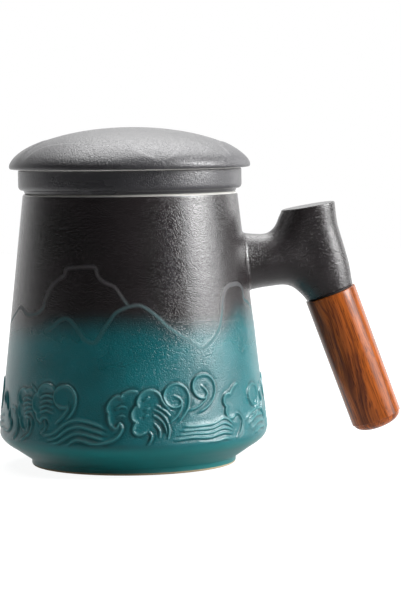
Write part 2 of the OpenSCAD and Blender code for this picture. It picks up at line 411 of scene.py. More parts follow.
def measure(points, line, reach, girth=None):
    """For the points near a line: their rows, their distance (left is positive), and how far
    each is from the line's nearer end."""
    middle = line.mean(0)
    local = points - middle
    if girth:
        local[:, 0] = (local[:, 0] + girth / 2) % girth - girth / 2
    start = line[:-1] - middle
    along = np.diff(line, axis=0)
    lowest, highest = (line - middle).min(0) - reach, (line - middle).max(0) + reach
    rows = np.flatnonzero(((local > lowest) & (local < highest)).all(1))
    gap = local[rows][:, None] - start
    share = np.clip((gap * along).sum(2) / (along**2).sum(1), 0, 1)
    gap -= share[..., None] * along
    apart = np.hypot(gap[..., 0], gap[..., 1])
    best = apart.argmin(1)
    pick = np.arange(len(rows)), best
    gap, share = gap[pick], share[pick]
    steps = np.hypot(*along.T)
    unit = along / steps[:, None]
    joint = np.vstack((unit[:1], unit[:-1] + unit[1:], unit[-1:]))
    tangent = joint[best] * (1 - share[:, None]) + joint[best + 1] * share[:, None]
    side = np.sign(tangent[:, 0] * gap[:, 1] - tangent[:, 1] * gap[:, 0])
    done = (np.cumsum(steps) - steps)[best] + share * steps[best]
    return rows, side * apart[pick], np.minimum(done, steps.sum() - done)


def ease(low, high, value):
    """0 below low, 1 above high, and smooth between."""
    t = np.clip((value - low) / (high - low), 0, 1)
    return t * t * (3 - 2 * t)


def wave_lines():
    """Every raised line of the wave band, once for each repeat round the wall."""
    drawn = heads() + head_ripples() + curls() + hooks() + streams()
    shift = GIRTH / REPEATS
    return [
        (line + (shift * i, 0), left, right)
        for i in range(REPEATS) for line, left, right in drawn
    ]


def mountain_lines():
    """Every ridge, once for each repeat round the wall."""
    shift = GIRTH / REPEATS
    return [flow(ridge, 5) + (shift * i, 0) for i in range(REPEATS) for ridge in MOUNTAINS]


def wave_relief(points):
    """Heights from -GROOVE_DEPTH to 1 over the unrolled wall, for its raised lines."""
    crest = np.zeros(len(points))
    groove = np.zeros(len(points))
    for line, left, right in wave_lines():
        rows, away, end = measure(points, line, max(left, right) + 2 * GROOVE, GIRTH)
        width = np.where(away > 0, left, right)
        apart = np.abs(away)
        taper = np.sqrt(np.clip(end / LINE_END, 0.12, 1))
        rise = taper * np.cos(pi / 2 * np.clip(apart / width, 0, 1)) ** 2
        crest[rows] = np.maximum(crest[rows], rise)
        beside = np.exp(-(((apart - width - GROOVE / 2) / GROOVE) ** 2))
        groove[rows] = np.maximum(groove[rows], taper * beside * (width == STEEP))
    return crest - GROOVE_DEPTH * groove * (1 - crest)


def mountain_relief(points, ridges, girth=None, fade=FADE, bevel=BEVEL):
    """Heights from 0 up, for land that stands out below each ridge and fades downhill, and
    heights from 0 to 1 for the rounded line along each ridge."""
    total = np.zeros(len(points))
    ribbon = np.zeros(len(points))
    for ridge in ridges:
        rows, away, end = measure(points, ridge, fade, girth)
        step = 1 - ease(-bevel / 2, bevel / 2, away)
        downhill = 1 - ease(0, fade, -away)
        total[rows] = np.maximum(total[rows], step * downhill * ease(0, LAND_END, end))
        bead = np.cos(pi / 2 * np.clip(np.abs(away) / RIBBON, 0, 1)) ** 2
        ribbon[rows] = np.maximum(ribbon[rows], bead * ease(0, RIDGE_END, end))
    return total, ribbon


# --- Shader nodes -------------------------------------------------------------------------


def node(tree, kind, inputs=None, **settings):
    """Adds a node, with its settings and with values or links for its inputs."""
    made = tree.nodes.new(kind)
    for key, value in settings.items():
        setattr(made, key, value)
    for key, value in (inputs or {}).items():
        if isinstance(value, bpy.types.NodeSocket):
            tree.links.new(value, made.inputs[key])
        else:
            made.inputs[key].default_value = value
    return made


def maths(tree, operation, *values, clamp=False):
    """Works out one number from others."""
    inputs = dict(enumerate(values))
    return node(tree, "ShaderNodeMath", inputs, operation=operation, use_clamp=clamp).outputs[0]


def span(tree, value, low, high, to_low=0.0, to_high=1.0):
    """Maps a value from low..high to to_low..to_high, smoothly."""
    inputs = {"Value": value, "From Min": low, "From Max": high, "To Min": to_low,
              "To Max": to_high}
    return node(tree, "ShaderNodeMapRange", inputs, interpolation_type="SMOOTHSTEP").outputs[0]


def blend(tree, factor, one, other):
    """Mixes two colours."""
    made = node(tree, "ShaderNodeMix", data_type="RGBA")
    sockets = made.inputs[0], made.inputs[6], made.inputs[7]
    for socket, value in zip(sockets, (factor, one, other)):
        if isinstance(value, bpy.types.NodeSocket):
            tree.links.new(value, socket)
        else:
            socket.default_value = value
    return made.outputs[2]


def noise(tree, place, scale, detail=2.0, roughness=0.5, distortion=0.0):
    """Cloudy noise from 0 to 1, so many lumps to a metre."""
    inputs = {"Vector": place, "Scale": scale, "Detail": detail, "Roughness": roughness,
              "Distortion": distortion}
    return node(tree, "ShaderNodeTexNoise", inputs).outputs["Fac"]


def object_place(tree):
    """Where a point is on the finished object, in metres."""
    return node(tree, "ShaderNodeTexCoord").outputs["Object"]


def mapped(tree, place, scale=(1, 1, 1), rotation=(0, 0, 0), location=(0, 0, 0)):
    """A place moved, turned and stretched."""
    inputs = {"Vector": place, "Scale": scale, "Rotation": rotation, "Location": location}
    return node(tree, "ShaderNodeMapping", inputs).outputs[0]


def rgba(value, gain=1.0):
    """A tone made paler or darker, as a node takes it."""
    return (*(min(1.0, channel * gain) for channel in value), 1.0)


def new_group(name, inputs, outputs):
    """An empty node group with these sockets, and its two end nodes."""
    tree = bpy.data.node_groups.new(name, "ShaderNodeTree")
    number = "NodeSocketFloat"
    for label, default in inputs:
        socket = tree.interface.new_socket(name=label, in_out="INPUT", socket_type=number)
        socket.default_value = default
    for label in outputs:
        tree.interface.new_socket(name=label, in_out="OUTPUT", socket_type=number)
    return tree, node(tree, "NodeGroupInput"), node(tree, "NodeGroupOutput")


def glaze_skin_group():
    """The leathery skin of a satin glaze: fine wrinkles over a slow unevenness."""
    tree, given, out = new_group(
        "glaze_skin", (("Scale", 520.0), ("Coarseness", 0.18)), ("Height", "Patches", "Specks")
    )
    place = mapped(tree, object_place(tree), scale=(1, 1, 1.2))
    fine = noise(tree, place, given.outputs["Scale"], 2.5, 0.55, 0.35)
    ridged = maths(tree, "ABSOLUTE", maths(tree, "SUBTRACT", fine, 0.5))
    broad_scale = maths(tree, "MULTIPLY", given.outputs["Scale"], 0.33)
    broad = noise(tree, place, broad_scale, 1.0, 0.5)
    wrinkles = maths(tree, "SUBTRACT", fine, maths(tree, "MULTIPLY", ridged, 0.6))
    weighted = maths(tree, "MULTIPLY", broad, given.outputs["Coarseness"])
    tree.links.new(maths(tree, "ADD", wrinkles, weighted), out.inputs["Height"])
    tree.links.new(noise(tree, place, 42.0, 3.0, 0.6), out.inputs["Patches"])
    grit = span(tree, noise(tree, place, 1500.0, 1.0, 0.5), 0.66, 0.74)
    tree.links.new(grit, out.inputs["Specks"])
    return tree


def worn_edge_group():
    """A mask that is 1 on sharp outer edges, where a glaze runs thin or a finish rubs off."""
    tree, given, out = new_group("worn_edge", (("Low", 0.52), ("High", 0.6)), ("Edge",))
    point = node(tree, "ShaderNodeNewGeometry").outputs["Pointiness"]
    inputs = {"Value": point, "From Min": given.outputs["Low"], "From Max": given.outputs["High"]}
    ranged = node(tree, "ShaderNodeMapRange", inputs, interpolation_type="SMOOTHSTEP").outputs[0]
    tree.links.new(ranged, out.inputs["Edge"])
    return tree


def machined_group():
    """Fine turning marks round the grip's axis and faint smears, for metal."""
    tree, given, out = new_group("machined", (("Scale", 900.0),), ("Height", "Smears"))
    place = mapped(tree, object_place(tree), scale=(0.12, 0.12, 1.0), rotation=(0, GRIP_LEAN, 0))
    tree.links.new(noise(tree, place, given.outputs["Scale"], 3.0, 0.6), out.inputs["Height"])
    tree.links.new(noise(tree, object_place(tree), 160.0, 2.0), out.inputs["Smears"])
    return tree


def shared(make):
    """The node group that make builds, built once."""
    name = make.__name__.removesuffix("_group")
    return bpy.data.node_groups.get(name) or make()


def place_group(tree, make, inputs=None):
    """Puts a shared node group in the tree and gives its outputs."""
    placed = tree.nodes.new("ShaderNodeGroup")
    placed.node_tree = shared(make)
    for key, value in (inputs or {}).items():
        placed.inputs[key].default_value = value
    return placed.outputs


def new_material(name):
    """A material with only its Principled shader, and that shader."""
    material = bpy.data.materials.new(FINISH + name)
    material.use_nodes = True
    tree = material.node_tree
    tree.nodes.clear()
    shader = node(tree, "ShaderNodeBsdfPrincipled")
    node(tree, "ShaderNodeOutputMaterial", {"Surface": shader.outputs[0]})
    return material, tree, shader


def wire(tree, shader, **links):
    """Links or sets the shader's inputs, named with _ for spaces."""
    for key, value in links.items():
        socket = shader.inputs[key.replace("_", " ")]
        if isinstance(value, bpy.types.NodeSocket):
            tree.links.new(value, socket)
        else:
            socket.default_value = value


def bump(tree, height, distance):
    """A normal tipped by a height of at most distance, in metres."""
    inputs = {"Height": height, "Distance": distance, "Strength": 1.0}
    return node(tree, "ShaderNodeBump", inputs).outputs[0]


# --- Materials ----------------------------------------------------------------------------


FINISH = "finish_"


def once(make):
    """The material that make builds, built once."""
    def get():
        return bpy.data.materials.get(FINISH + make.__name__) or make()
    return get


def finishes():
    """The tones that the panel shows."""
    return bpy.context.scene.mug_finishes


# The way to the deep valley between two mountains, where the black glaze runs lower.
VALLEY_TURN = FRONT + 28 / PITCH
VALLEY = Vector((cos(VALLEY_TURN), sin(VALLEY_TURN), 0))
VALLEY_REACH = (0.040, 0.0455)
VALLEY_DIP = 0.0035
# How far the edge between black and teal wanders, climbs towards the handle and spreads.
WANDER = 0.012
CLIMB = 0.06
FADE_SPREAD = 0.0065
RIDGE_FADE = 0.013
# Heights between which the taper under the belly and the white rim begin.
TAPER_BAND = (0.0125, 0.0095)
RIM_BAND = (0.10140, 0.10155)
# Tints of the glaze: paler on the wave crests, where it lies thin and where a highlight is painted
# on;
# paler on the taper, a painted light from the white floor below it; and along the ridges, where it
# lies thin.
THIN_GLAZE_AND_HIGHLIGHT_TEAL = (0.05, 0.27, 0.28, 1)
FLOOR_LIGHT_TAPER_TEAL = (0.01, 0.22, 0.22, 1)
RIDGE_TEAL = (0.004, 0.120, 0.130, 1)
RIDGE_BLACK = (0.062, 0.057, 0.062, 1)
# Scales of the fine skin on the mug's wall and on the other satin pieces.
WALL_SKIN = 1700.0
SATIN_SKIN = 1600.0


def glaze_level(tree, place, axes):
    """Height on the wall, shifted as the edge between black and teal runs."""
    drift = noise(tree, place, 18.0, 3.0, 0.6)
    wander = maths(tree, "MULTIPLY", maths(tree, "SUBTRACT", drift, 0.5), WANDER)
    climb = maths(tree, "MULTIPLY", axes["X"], CLIMB)
    valley = node(tree, "ShaderNodeVectorMath", {0: place, 1: VALLEY}, operation="DOT_PRODUCT")
    towards = maths(tree, "ABSOLUTE", valley.outputs["Value"])
    dip = span(tree, towards, *VALLEY_REACH, 0.0, VALLEY_DIP)
    shifted = maths(tree, "ADD", maths(tree, "ADD", axes["Z"], wander), dip)
    return maths(tree, "SUBTRACT", shifted, climb)


def wall_teal(tree, height, patches, relief, above):
    """Cloudy teal: paler on the wave crests (thin glaze and a painted highlight), deeper in the
    grooves (pooled glaze and painted shade) and paler on the taper (painted light from the floor).
    """
    tone = finishes().teal
    cloudy = span(tree, patches, 0.3, 0.7)
    teal = blend(tree, cloudy, rgba(tone, 0.86), rgba(tone, 1.12))
    # Painted shade in the grooves, together with the deeper tint of glaze pooled there.
    below = maths(tree, "MULTIPLY", maths(tree, "MINIMUM", relief, 0.0), -2.2, clamp=True)
    # Painted highlight on the wave crests, together with the paler tint of thin glaze there.
    teal = blend(tree, maths(tree, "MULTIPLY", above, 0.55), teal, THIN_GLAZE_AND_HIGHLIGHT_TEAL)
    teal = blend(tree, maths(tree, "MULTIPLY", below, 0.6), teal, rgba(tone, 0.4))
    # Painted light from the white floor: the taper under the belly is made paler.
    floor_light_share = span(tree, height, *TAPER_BAND)
    return blend(tree, maths(tree, "MULTIPLY", floor_light_share, 0.8), teal, FLOOR_LIGHT_TAPER_TEAL)


@once
def gradient_glaze():
    """Black glaze that fades to teal down the wall, over the raised ornament."""
    material, tree, shader = new_material("gradient_glaze")
    tone = finishes()
    place = object_place(tree)
    axes = node(tree, "ShaderNodeSeparateXYZ", {"Vector": place}).outputs
    height = axes["Z"]
    skin = place_group(tree, glaze_skin_group, {"Scale": WALL_SKIN})
    relief = node(tree, "ShaderNodeAttribute", attribute_name="relief").outputs["Fac"]
    ridge = node(tree, "ShaderNodeAttribute", attribute_name="ridge").outputs["Fac"]
    above = span(tree, relief, 0.45, 1.0)

    level = glaze_level(tree, place, axes)
    fade = tone.fade_height
    black_share = span(tree, level, fade - FADE_SPREAD, fade + FADE_SPREAD)
    teal = wall_teal(tree, height, skin["Patches"], relief, above)
    cloudy = span(tree, skin["Patches"], 0.3, 0.7)
    black = blend(tree, cloudy, rgba(tone.black, 0.85), rgba(tone.black, 1.15))
    body = blend(tree, black_share, teal, black)
    crest_share = span(tree, level, fade, fade + RIDGE_FADE)
    crest = blend(tree, crest_share, RIDGE_TEAL, RIDGE_BLACK)
    body = blend(tree, maths(tree, "MULTIPLY", ridge, 0.9), body, crest)
    body = blend(tree, span(tree, height, *RIM_BAND), body, rgba(tone.liner))

    peel = span(tree, height, 0.0095, 0.0140, 0.12, 1.0)
    coarse = span(tree, height, 0.044, 0.080, 1.4, 1.0)
    skin_height = maths(tree, "MULTIPLY", skin["Height"], maths(tree, "MULTIPLY", peel, coarse))
    sheen = span(tree, height, 0.020, 0.085, 0.29, 0.205)
    patchy = span(tree, skin["Patches"], 0.25, 0.75, 0.0, 0.03)
    wave_dull = maths(tree, "MULTIPLY", above, 0.14)
    dull = maths(tree, "MAXIMUM", wave_dull, maths(tree, "MULTIPLY", ridge, 0.4))
    wire(
        tree, shader,
        Base_Color=body,
        Roughness=maths(tree, "ADD", maths(tree, "ADD", sheen, patchy), dull),
        Normal=bump(tree, skin_height, 0.00014),
        Specular_IOR_Level=1.0,
    )
    return material


def satin_glaze(name, tone, wrinkle, rough):
    """A single-coloured satin glaze over wrinkled skin, thin and paler on its edges."""
    material, tree, shader = new_material(name)
    skin = place_group(tree, glaze_skin_group, {"Scale": SATIN_SKIN})
    edge = place_group(tree, worn_edge_group)["Edge"]
    cloudy = span(tree, skin["Patches"], 0.3, 0.7)
    body = blend(tree, cloudy, rgba(tone, 0.85), rgba(tone, 1.15))
    thin = maths(tree, "MULTIPLY", edge, 0.35)
    body = blend(tree, thin, body, rgba(tone, 3.5))
    wire(
        tree, shader,
        Base_Color=body,
        Roughness=span(tree, skin["Patches"], 0.25, 0.75, rough - 0.05, rough + 0.05),
        Normal=bump(tree, skin["Height"], wrinkle),
        Specular_IOR_Level=1.0,
    )
    return material


@once
def black_glaze():
    """The clay arm's glaze."""
    return satin_glaze("black_glaze", finishes().black, 0.00018, 0.25)


@once
def infuser_glaze():
    """The collar's glaze."""
    return satin_glaze("infuser_glaze", finishes().lid, 0.00022, 0.29)


@once
def lid_glaze():
    """The lid's glaze, a little more wrinkled than the collar's."""
    return satin_glaze("lid_glaze", finishes().lid, 0.00025, 0.32)


@once
def liner_glaze():
    """Glossy white glaze with faint tea-coloured pinholes."""
    material, tree, shader = new_material("liner_glaze")
    tone = finishes().liner
    skin = place_group(tree, glaze_skin_group, {"Scale": 120.0})
    body = blend(tree, span(tree, skin["Patches"], 0.3, 0.75), rgba(tone), rgba(tone, 0.93))
    body = blend(tree, maths(tree, "MULTIPLY", skin["Specks"], 0.25), body, (0.45, 0.38, 0.28, 1))
    wire(
        tree, shader,
        Base_Color=body,
        Roughness=span(tree, skin["Patches"], 0.3, 0.7, 0.14, 0.22),
        Normal=bump(tree, skin["Height"], 0.00012),
        Coat_Weight=0.3,
        Coat_Roughness=0.08,
    )
    return material


@once
def bare_clay():
    """Unglazed fired clay on the foot ring, gritty and a little toasted."""
    material, tree, shader = new_material("bare_clay")
    tone = finishes().clay
    skin = place_group(tree, glaze_skin_group, {"Scale": 1400.0})
    body = blend(tree, span(tree, skin["Patches"], 0.3, 0.7), rgba(tone, 0.8), rgba(tone, 1.15))
    body = blend(tree, maths(tree, "MULTIPLY", skin["Specks"], 0.6), body, rgba(tone, 0.3))
    wire(
        tree, shader,
        Base_Color=body,
        Roughness=span(tree, skin["Patches"], 0.2, 0.8, 0.75, 0.92),
        Normal=bump(tree, skin["Height"], 0.00025),
    )
    return material


@once
def varnished_wood():
    """Dark red hardwood with long streaks and pores, under a clear varnish."""
    material, tree, shader = new_material("varnished_wood")
    tone = finishes()
    turn = at_grip().inverted()
    centred = mapped(tree, object_place(tree), rotation=turn.to_euler(), location=turn.translation)
    bent = noise(tree, mapped(tree, centred, scale=(1, 1, 0.3)), 60.0, 2.0)
    push = maths(tree, "MULTIPLY", maths(tree, "SUBTRACT", bent, 0.5), 0.012)
    axes = node(tree, "ShaderNodeSeparateXYZ", {"Vector": centred})
    shifted = node(tree, "ShaderNodeCombineXYZ", {
        "X": maths(tree, "ADD", axes.outputs["X"], push),
        "Y": maths(tree, "ADD", axes.outputs["Y"], push),
        "Z": axes.outputs["Z"],
    }).outputs[0]
    bands = noise(tree, mapped(tree, shifted, scale=(1, 1, 0.05)), 420.0, 3.0, 0.6)
    broad = noise(tree, mapped(tree, shifted, scale=(1, 1, 0.08)), 140.0, 2.0, 0.5)
    fibres = noise(tree, mapped(tree, shifted, scale=(1, 1, 0.04)), 2100.0, 2.0, 0.6)
    pores = noise(tree, mapped(tree, centred, scale=(1, 1, 0.09)), 2600.0, 1.0, 0.5)
    body = blend(tree, span(tree, bands, 0.35, 0.65), rgba(tone.wood, 1.1), rgba(tone.wood, 0.72))
    streak = blend(tree, 0.6, bands, broad)
    dark_share = maths(tree, "MULTIPLY", span(tree, streak, 0.50, 0.64), 0.75)
    body = blend(tree, dark_share, body, rgba(tone.dark_wood))
    fibre_share = maths(tree, "MULTIPLY", span(tree, fibres, 0.46, 0.66), 0.65)
    body = blend(tree, fibre_share, body, rgba(tone.dark_wood, 0.9))
    pore_share = span(tree, pores, 0.62, 0.72)
    body = blend(tree, maths(tree, "MULTIPLY", pore_share, 0.6), body, rgba(tone.dark_wood, 0.4))
    grain = maths(tree, "SUBTRACT", fibres, maths(tree, "MULTIPLY", pore_share, 0.5))
    wire(
        tree, shader,
        Base_Color=body,
        Roughness=span(tree, bands, 0.3, 0.7, 0.30, 0.42),
        Normal=bump(tree, grain, 0.00004),
        Specular_IOR_Level=0.0,
        Coat_Weight=0.8,
        Coat_Roughness=0.21,
    )
    return material


def metal(name, tone, rough, scale):
    """A turned metal with fine tool marks and dull smears."""
    material, tree, shader = new_material(name)
    marks = place_group(tree, machined_group, {"Scale": scale})
    edge = place_group(tree, worn_edge_group)["Edge"]
    smear = span(tree, marks["Smears"], 0.35, 0.7)
    body = blend(tree, maths(tree, "MULTIPLY", smear, 0.35), rgba(tone), rgba(tone, 0.62))
    body = blend(tree, maths(tree, "MULTIPLY", edge, 0.4), body, rgba(tone, 1.3))
    wire(
        tree, shader,
        Base_Color=body,
        Metallic=1.0,
        Roughness=span(tree, marks["Smears"], 0.3, 0.7, rough, rough + 0.14),
        Normal=bump(tree, marks["Height"], 0.00003),
    )
    return material


@once
def stainless():
    """Steel of the stud."""
    return metal("stainless", finishes().steel, 0.24, 900.0)


@once
def insert_brass():
    """Brass of the thread insert."""
    return metal("insert_brass", finishes().brass, 0.28, 1100.0)


def matt(name, tone, scale, grit, rough, speck):
    """A dull, grainy material such as rubber or cement."""
    material, tree, shader = new_material(name)
    skin = place_group(tree, glaze_skin_group, {"Scale": scale})
    body = blend(tree, span(tree, skin["Patches"], 0.3, 0.7), rgba(tone, 0.8), rgba(tone, 1.25))
    body = blend(tree, maths(tree, "MULTIPLY", skin["Specks"], 0.5), body, rgba(tone, speck))
    wire(
        tree, shader,
        Base_Color=body,
        Roughness=span(tree, skin["Patches"], 0.3, 0.7, rough - 0.06, rough + 0.06),
        Normal=bump(tree, skin["Height"], grit),
    )
    return material


@once
def washer_rubber():
    """Soft black of the washer."""
    return matt("washer_rubber", finishes().rubber, 1600.0, 0.00005, 0.62, 2.5)


@once
def cement():
    """The grey sleeve that holds the stud."""
    return matt("cement", finishes().cement, 1300.0, 0.0002, 0.88, 0.5)


# --- Mug ----------------------------------------------------------------------------------

FOOT_EDGE = 0.0012
CLAY_LINE = 0.0007
RIM_EDGE = 0.0019
# The taper from the foot to the belly: where it starts and ends, and what rounds the belly.
TAPER_START = 0.0024
TAPER_END = (0.0450, 0.0067)
BELLY_SWELL = 0.0008
BELLY_PULL = 0.0102
# Inside: the round corner at the floor, and where the wall above it begins.
FLOOR_CORNER = 0.009
WALL_START = 0.006
RECESS_SLOPE = 0.0015
# Radius of the ring that splits each wide flat, so that its faces aren't long slivers.
FLAT_RING = 0.02
# Height where the relief begins, and over how much it grows, in millimetres.
RELIEF_FLOOR = 11.3
RELIEF_GROWTH = 1.6
# How far past a line's middle the faces are cut small, in millimetres, for waves and ridges.
FIRST_REACH = (1.35, 1.5)
SECOND_REACH = (0.6, 0.66)
# Tolerance in telling the pieces of the outline apart when they get their glaze.
SEAM = 0.0005
# Heights of the top of the waves, and of the foot and the top of the mountains.
ORNAMENT_EDGES = (0.0385, 0.0455, 0.0775)
PLAIN_ROW = 0.003


def wall_outline(size, row):
    """The straight wall from the belly to the rim, with close rows where it has ornament."""
    bottom, top = size.belly_height, size.height - RIM_EDGE
    lean = (size.belly_radius - size.rim_radius) / (top - bottom)
    heights = (bottom, *ORNAMENT_EDGES, top)
    points = [(size.belly_radius - lean * (z - bottom), z) for z in heights]
    outline = points[:1]
    for low, high, step in zip(points, points[1:], (row, PLAIN_ROW, row, PLAIN_ROW)):
        outline += spaced([low, high], step)[1:]
    return outline


def mug_outline(size, row):
    """Outer outline of the mug from the foot to the crown of the rim."""
    foot, rim, belly = size.foot_radius, size.rim_radius, size.belly_radius
    side_top = (rim, size.height - RIM_EDGE)
    belly_pull = (belly + BELLY_SWELL, BELLY_PULL)
    belly_top = (belly, size.belly_height)
    return (
        bend((foot - FOOT_EDGE, 0), (foot, 0), (foot, FOOT_EDGE), 6)
        + spaced([(foot, TAPER_START), *bend(TAPER_END, belly_pull, belly_top)], row)
        + wall_outline(size, row)[1:]
        + bend(side_top, (rim, size.height), (rim - RIM_EDGE, size.height))[1:]
    )


def mug_inside(size):
    """Inner outline of the mug from the rim to the middle of the floor."""
    inner = size.rim_radius - size.wall
    belly = size.belly_radius - size.wall
    floor = size.floor_height
    slope = (size.belly_radius - size.rim_radius) / (size.height - RIM_EDGE - size.belly_height)
    crown = (inner + RIM_EDGE - 0.0002, size.height)
    turn_in = (belly - 0.0008, size.belly_height + 0.0015)
    return [
        *bend(crown, (inner, size.height), (inner, size.height - RIM_EDGE)),
        (belly - slope * WALL_START, size.belly_height + WALL_START),
        *bend(turn_in, (belly - 0.0015, floor), (belly - FLOOR_CORNER, floor)),
        (FLAT_RING, floor),
        (0, floor),
    ]


def unrolled(places):
    """Places on the wall as (u, z) in millimetres."""
    angle = np.arctan2(places[:, 1], places[:, 0]) - FRONT
    angle = (angle + pi) % FULL_TURN - pi
    return np.column_stack((angle * PITCH, places[:, 2] / MM))


def on_wall(places, size):
    """True for the places on the outer wall that the ornament may reach."""
    span_z = size.height - RIM_EDGE - size.belly_height
    share = np.clip((places[:, 2] - size.belly_height) / span_z, 0, 1)
    wall_radius = size.belly_radius + (size.rim_radius - size.belly_radius) * share
    outside = np.hypot(places[:, 0], places[:, 1]) > wall_radius - size.wall / 2
    return outside & (places[:, 2] / MM > RELIEF_FLOOR - 1)


def refine(bm, size, wave_reach, ridge_reach):
    """Cuts the wall's faces into four within reach of the ornament's lines."""
    places = np.array([face.calc_center_median() for face in bm.faces])
    rows = np.flatnonzero(on_wall(places, size))
    spots = unrolled(places[rows])
    near = np.zeros(len(spots), bool)
    drawn = [(line, wave_reach) for line, _, _ in wave_lines()]
    drawn += [(line, ridge_reach) for line in mountain_lines()]
    for line, limit in drawn:
        hit, away, _ = measure(spots, line, limit, GIRTH)
        near[hit[np.abs(away) < limit]] = True
    bm.faces.ensure_lookup_table()
    edges = {edge for row in rows[near] for edge in bm.faces[row].edges}
    bmesh.ops.subdivide_edges(bm, edges=list(edges), cuts=1, use_grid_fill=True)


def paint_mug(bm, size):
    """Glaze outside, white inside, bare clay where the foot stands."""
    inner = size.rim_radius - RIM_EDGE - SEAM
    foot_inner = size.foot_radius - size.foot_width
    for face in bm.faces:
        middle = face.calc_center_median()
        across = Vector((middle.x, middle.y)).length
        facing_in = middle.x * face.normal.x + middle.y * face.normal.y < 0
        above_floor = middle.z > size.floor_height - SEAM
        if above_floor and (across < inner or facing_in) and (facing_in or face.normal.z > 0.5):
            face.material_index = 1
        elif middle.z < CLAY_LINE and across > foot_inner - 0.0003:
            face.material_index = 2


def build_mug():
    """The mug, thrown from one outline, with its relief raised along the normals."""
    size = bpy.context.scene.mug_sizes
    row = FULL_TURN * size.belly_radius / size.columns
    recess = size.foot_radius - size.foot_width
    outline = [
        (0, size.foot_recess), (FLAT_RING, size.foot_recess),
        (recess - RECESS_SLOPE, size.foot_recess), (recess, 0),
        *mug_outline(size, row), *mug_inside(size),
    ]
    bm = turned(outline, size.columns)
    refine(bm, size, *FIRST_REACH)
    refine(bm, size, *SECOND_REACH)
    bmesh.ops.recalc_face_normals(bm, faces=bm.faces)
    paint_mug(bm, size)
    materials = (gradient_glaze(), liner_glaze(), bare_clay())
    piece = finished(bm, "glazed_mug", "mug", materials, ["mug_body"], 62)
    places = coordinates(piece.data)
    rows = np.flatnonzero(on_wall(places, size))
    spots = unrolled(places[rows])
    low_edge = ease(RELIEF_FLOOR, RELIEF_FLOOR + RELIEF_GROWTH, spots[:, 1])
    waves = wave_relief(spots) * low_edge
    land, ribbon = mountain_relief(spots, mountain_lines(), GIRTH)
    heights = np.zeros(len(places))
    heights[rows] = (
        waves * size.wave_height + land * size.ridge_height + ribbon * size.ridge_bead
    )
    raise_points(piece.data, heights)
    for name, values in (("relief", waves), ("ridge", ribbon)):
        shown = np.zeros(len(places))
        shown[rows] = values
        store(piece.data, name, shown)
    return piece


# --- Handle -------------------------------------------------------------------------------

HEAD_END = Vector((0.0761, 0, 0.0630))
HEAD_TOP = Vector((0.0683, 0, 0.0961))
TOP_TILT = radians(9.3)
GRIP_LEAN = radians(20)
WASHER = 0.0005
SOCKET_DEPTH = 0.014
CEMENT_RADIUS = 0.0042
VOXEL = 0.0005
ARM_HEIGHT = 0.0749
ROOT_FILLET = 0.0014
# The plane that ends the arm inside the wall.
ROOT_CUT = Vector((0.0412, 0, 0.0750))
ROOT_FACING = Vector((-0.994, 0, -0.11))
TOP_FACING = Vector((-sin(TOP_TILT), 0, cos(TOP_TILT)))
FOOT_FACING = Vector((sin(GRIP_LEAN), 0, -cos(GRIP_LEAN)))
TOP_ROUNDING = 0.0007
FOOT_ROUNDING = 0.00035
SMOOTHING = 110


def at_grip():
    """The grip's own frame: the origin on the clay and +Z down the grip."""
    return Matrix.Translation(HEAD_END) @ Matrix.Rotation(pi - GRIP_LEAN, 4, "Y")


def sweep(stations, steps=72):
    """A closed bmesh drawn through round stations (x, z, radius, tilt of the disc in degrees)."""
    bm = bmesh.new()
    x, z, radius, tilt = stations[0]
    first = Matrix.Translation((x, 0, z)) @ Matrix.Rotation(-radians(tilt), 4, "Y")
    ring = bmesh.ops.create_circle(bm, cap_ends=True, segments=steps, radius=radius, matrix=first)
    edges = list({edge for vert in ring["verts"] for edge in vert.link_edges})
    place = first
    for x, z, wide, tilt in stations[1:]:
        target = Matrix.Translation((x, 0, z)) @ Matrix.Rotation(-radians(tilt), 4, "Y")
        grown = bmesh.ops.extrude_edge_only(bm, edges=edges)["geom"]
        verts = [part for part in grown if isinstance(part, bmesh.types.BMVert)]
        edges = [part for part in grown if isinstance(part, bmesh.types.BMEdge)]
        move = target @ Matrix.Scale(wide / radius, 4) @ place.inverted()
        bmesh.ops.transform(bm, matrix=move, verts=verts)
        place, radius = target, wide
    bmesh.ops.contextual_create(bm, geom=edges)
    bmesh.ops.recalc_face_normals(bm, faces=bm.faces)
    return bm


def blank_arm(size):
    """Arm and head as tubes that run into each other, with webs in the corners between."""
    swell = 0.0004
    arm_r, root_r = size.arm_radius + swell, size.root_radius + swell
    head_r, socket_r = size.head_radius + swell, size.socket_radius + swell
    tubes = (
        ((0.0330, 0.0746, root_r + 0.0018, -90), (0.0400, 0.0748, root_r + 0.0006, -90),
         (0.0445, 0.0750, root_r - 0.0006, -90), (0.0500, 0.0753, arm_r + 0.0004, -90),
         (0.0570, 0.0757, arm_r, -90), (0.0660, 0.0757, arm_r - 0.0020, -90)),
        ((0.0680, 0.1000, head_r + 0.0001, 10), (0.0683, 0.0962, head_r, 9),
         (0.0694, 0.0885, head_r - 0.0003, 5), (0.0721, 0.0800, head_r - 0.0005, 7),
         (0.0746, 0.0710, socket_r + 0.0002, 15), (0.0761, 0.0630, socket_r, 20),
         (0.0776, 0.0590, socket_r, 20)),
        ((0.0520, 0.0757, arm_r - 0.0001, -90), (0.0601, 0.0800, arm_r - 0.0001, -62),
         (0.0655, 0.0882, arm_r, -25), (0.0683, 0.0962, head_r, 9), (0.0680, 0.1000, head_r, 10)),
        ((0.0530, 0.0757, arm_r - 0.0002, -90), (0.0600, 0.0755, arm_r - 0.0002, -100),
         (0.0669, 0.0731, arm_r - 0.0003, -125), (0.0719, 0.0686, socket_r + 0.0002, -145),
         (0.0761, 0.0630, socket_r, -160), (0.0776, 0.0590, socket_r, -160)),
    )
    joined = bmesh.new()
    for stations in tubes:
        part = bpy.data.meshes.new("tube")
        tube = sweep(stations)
        tube.to_mesh(part)
        tube.free()
        joined.from_mesh(part)
        bpy.data.meshes.remove(part)
    blank = bpy.data.meshes.new("arm_blank")
    joined.to_mesh(blank)
    joined.free()
    return blank


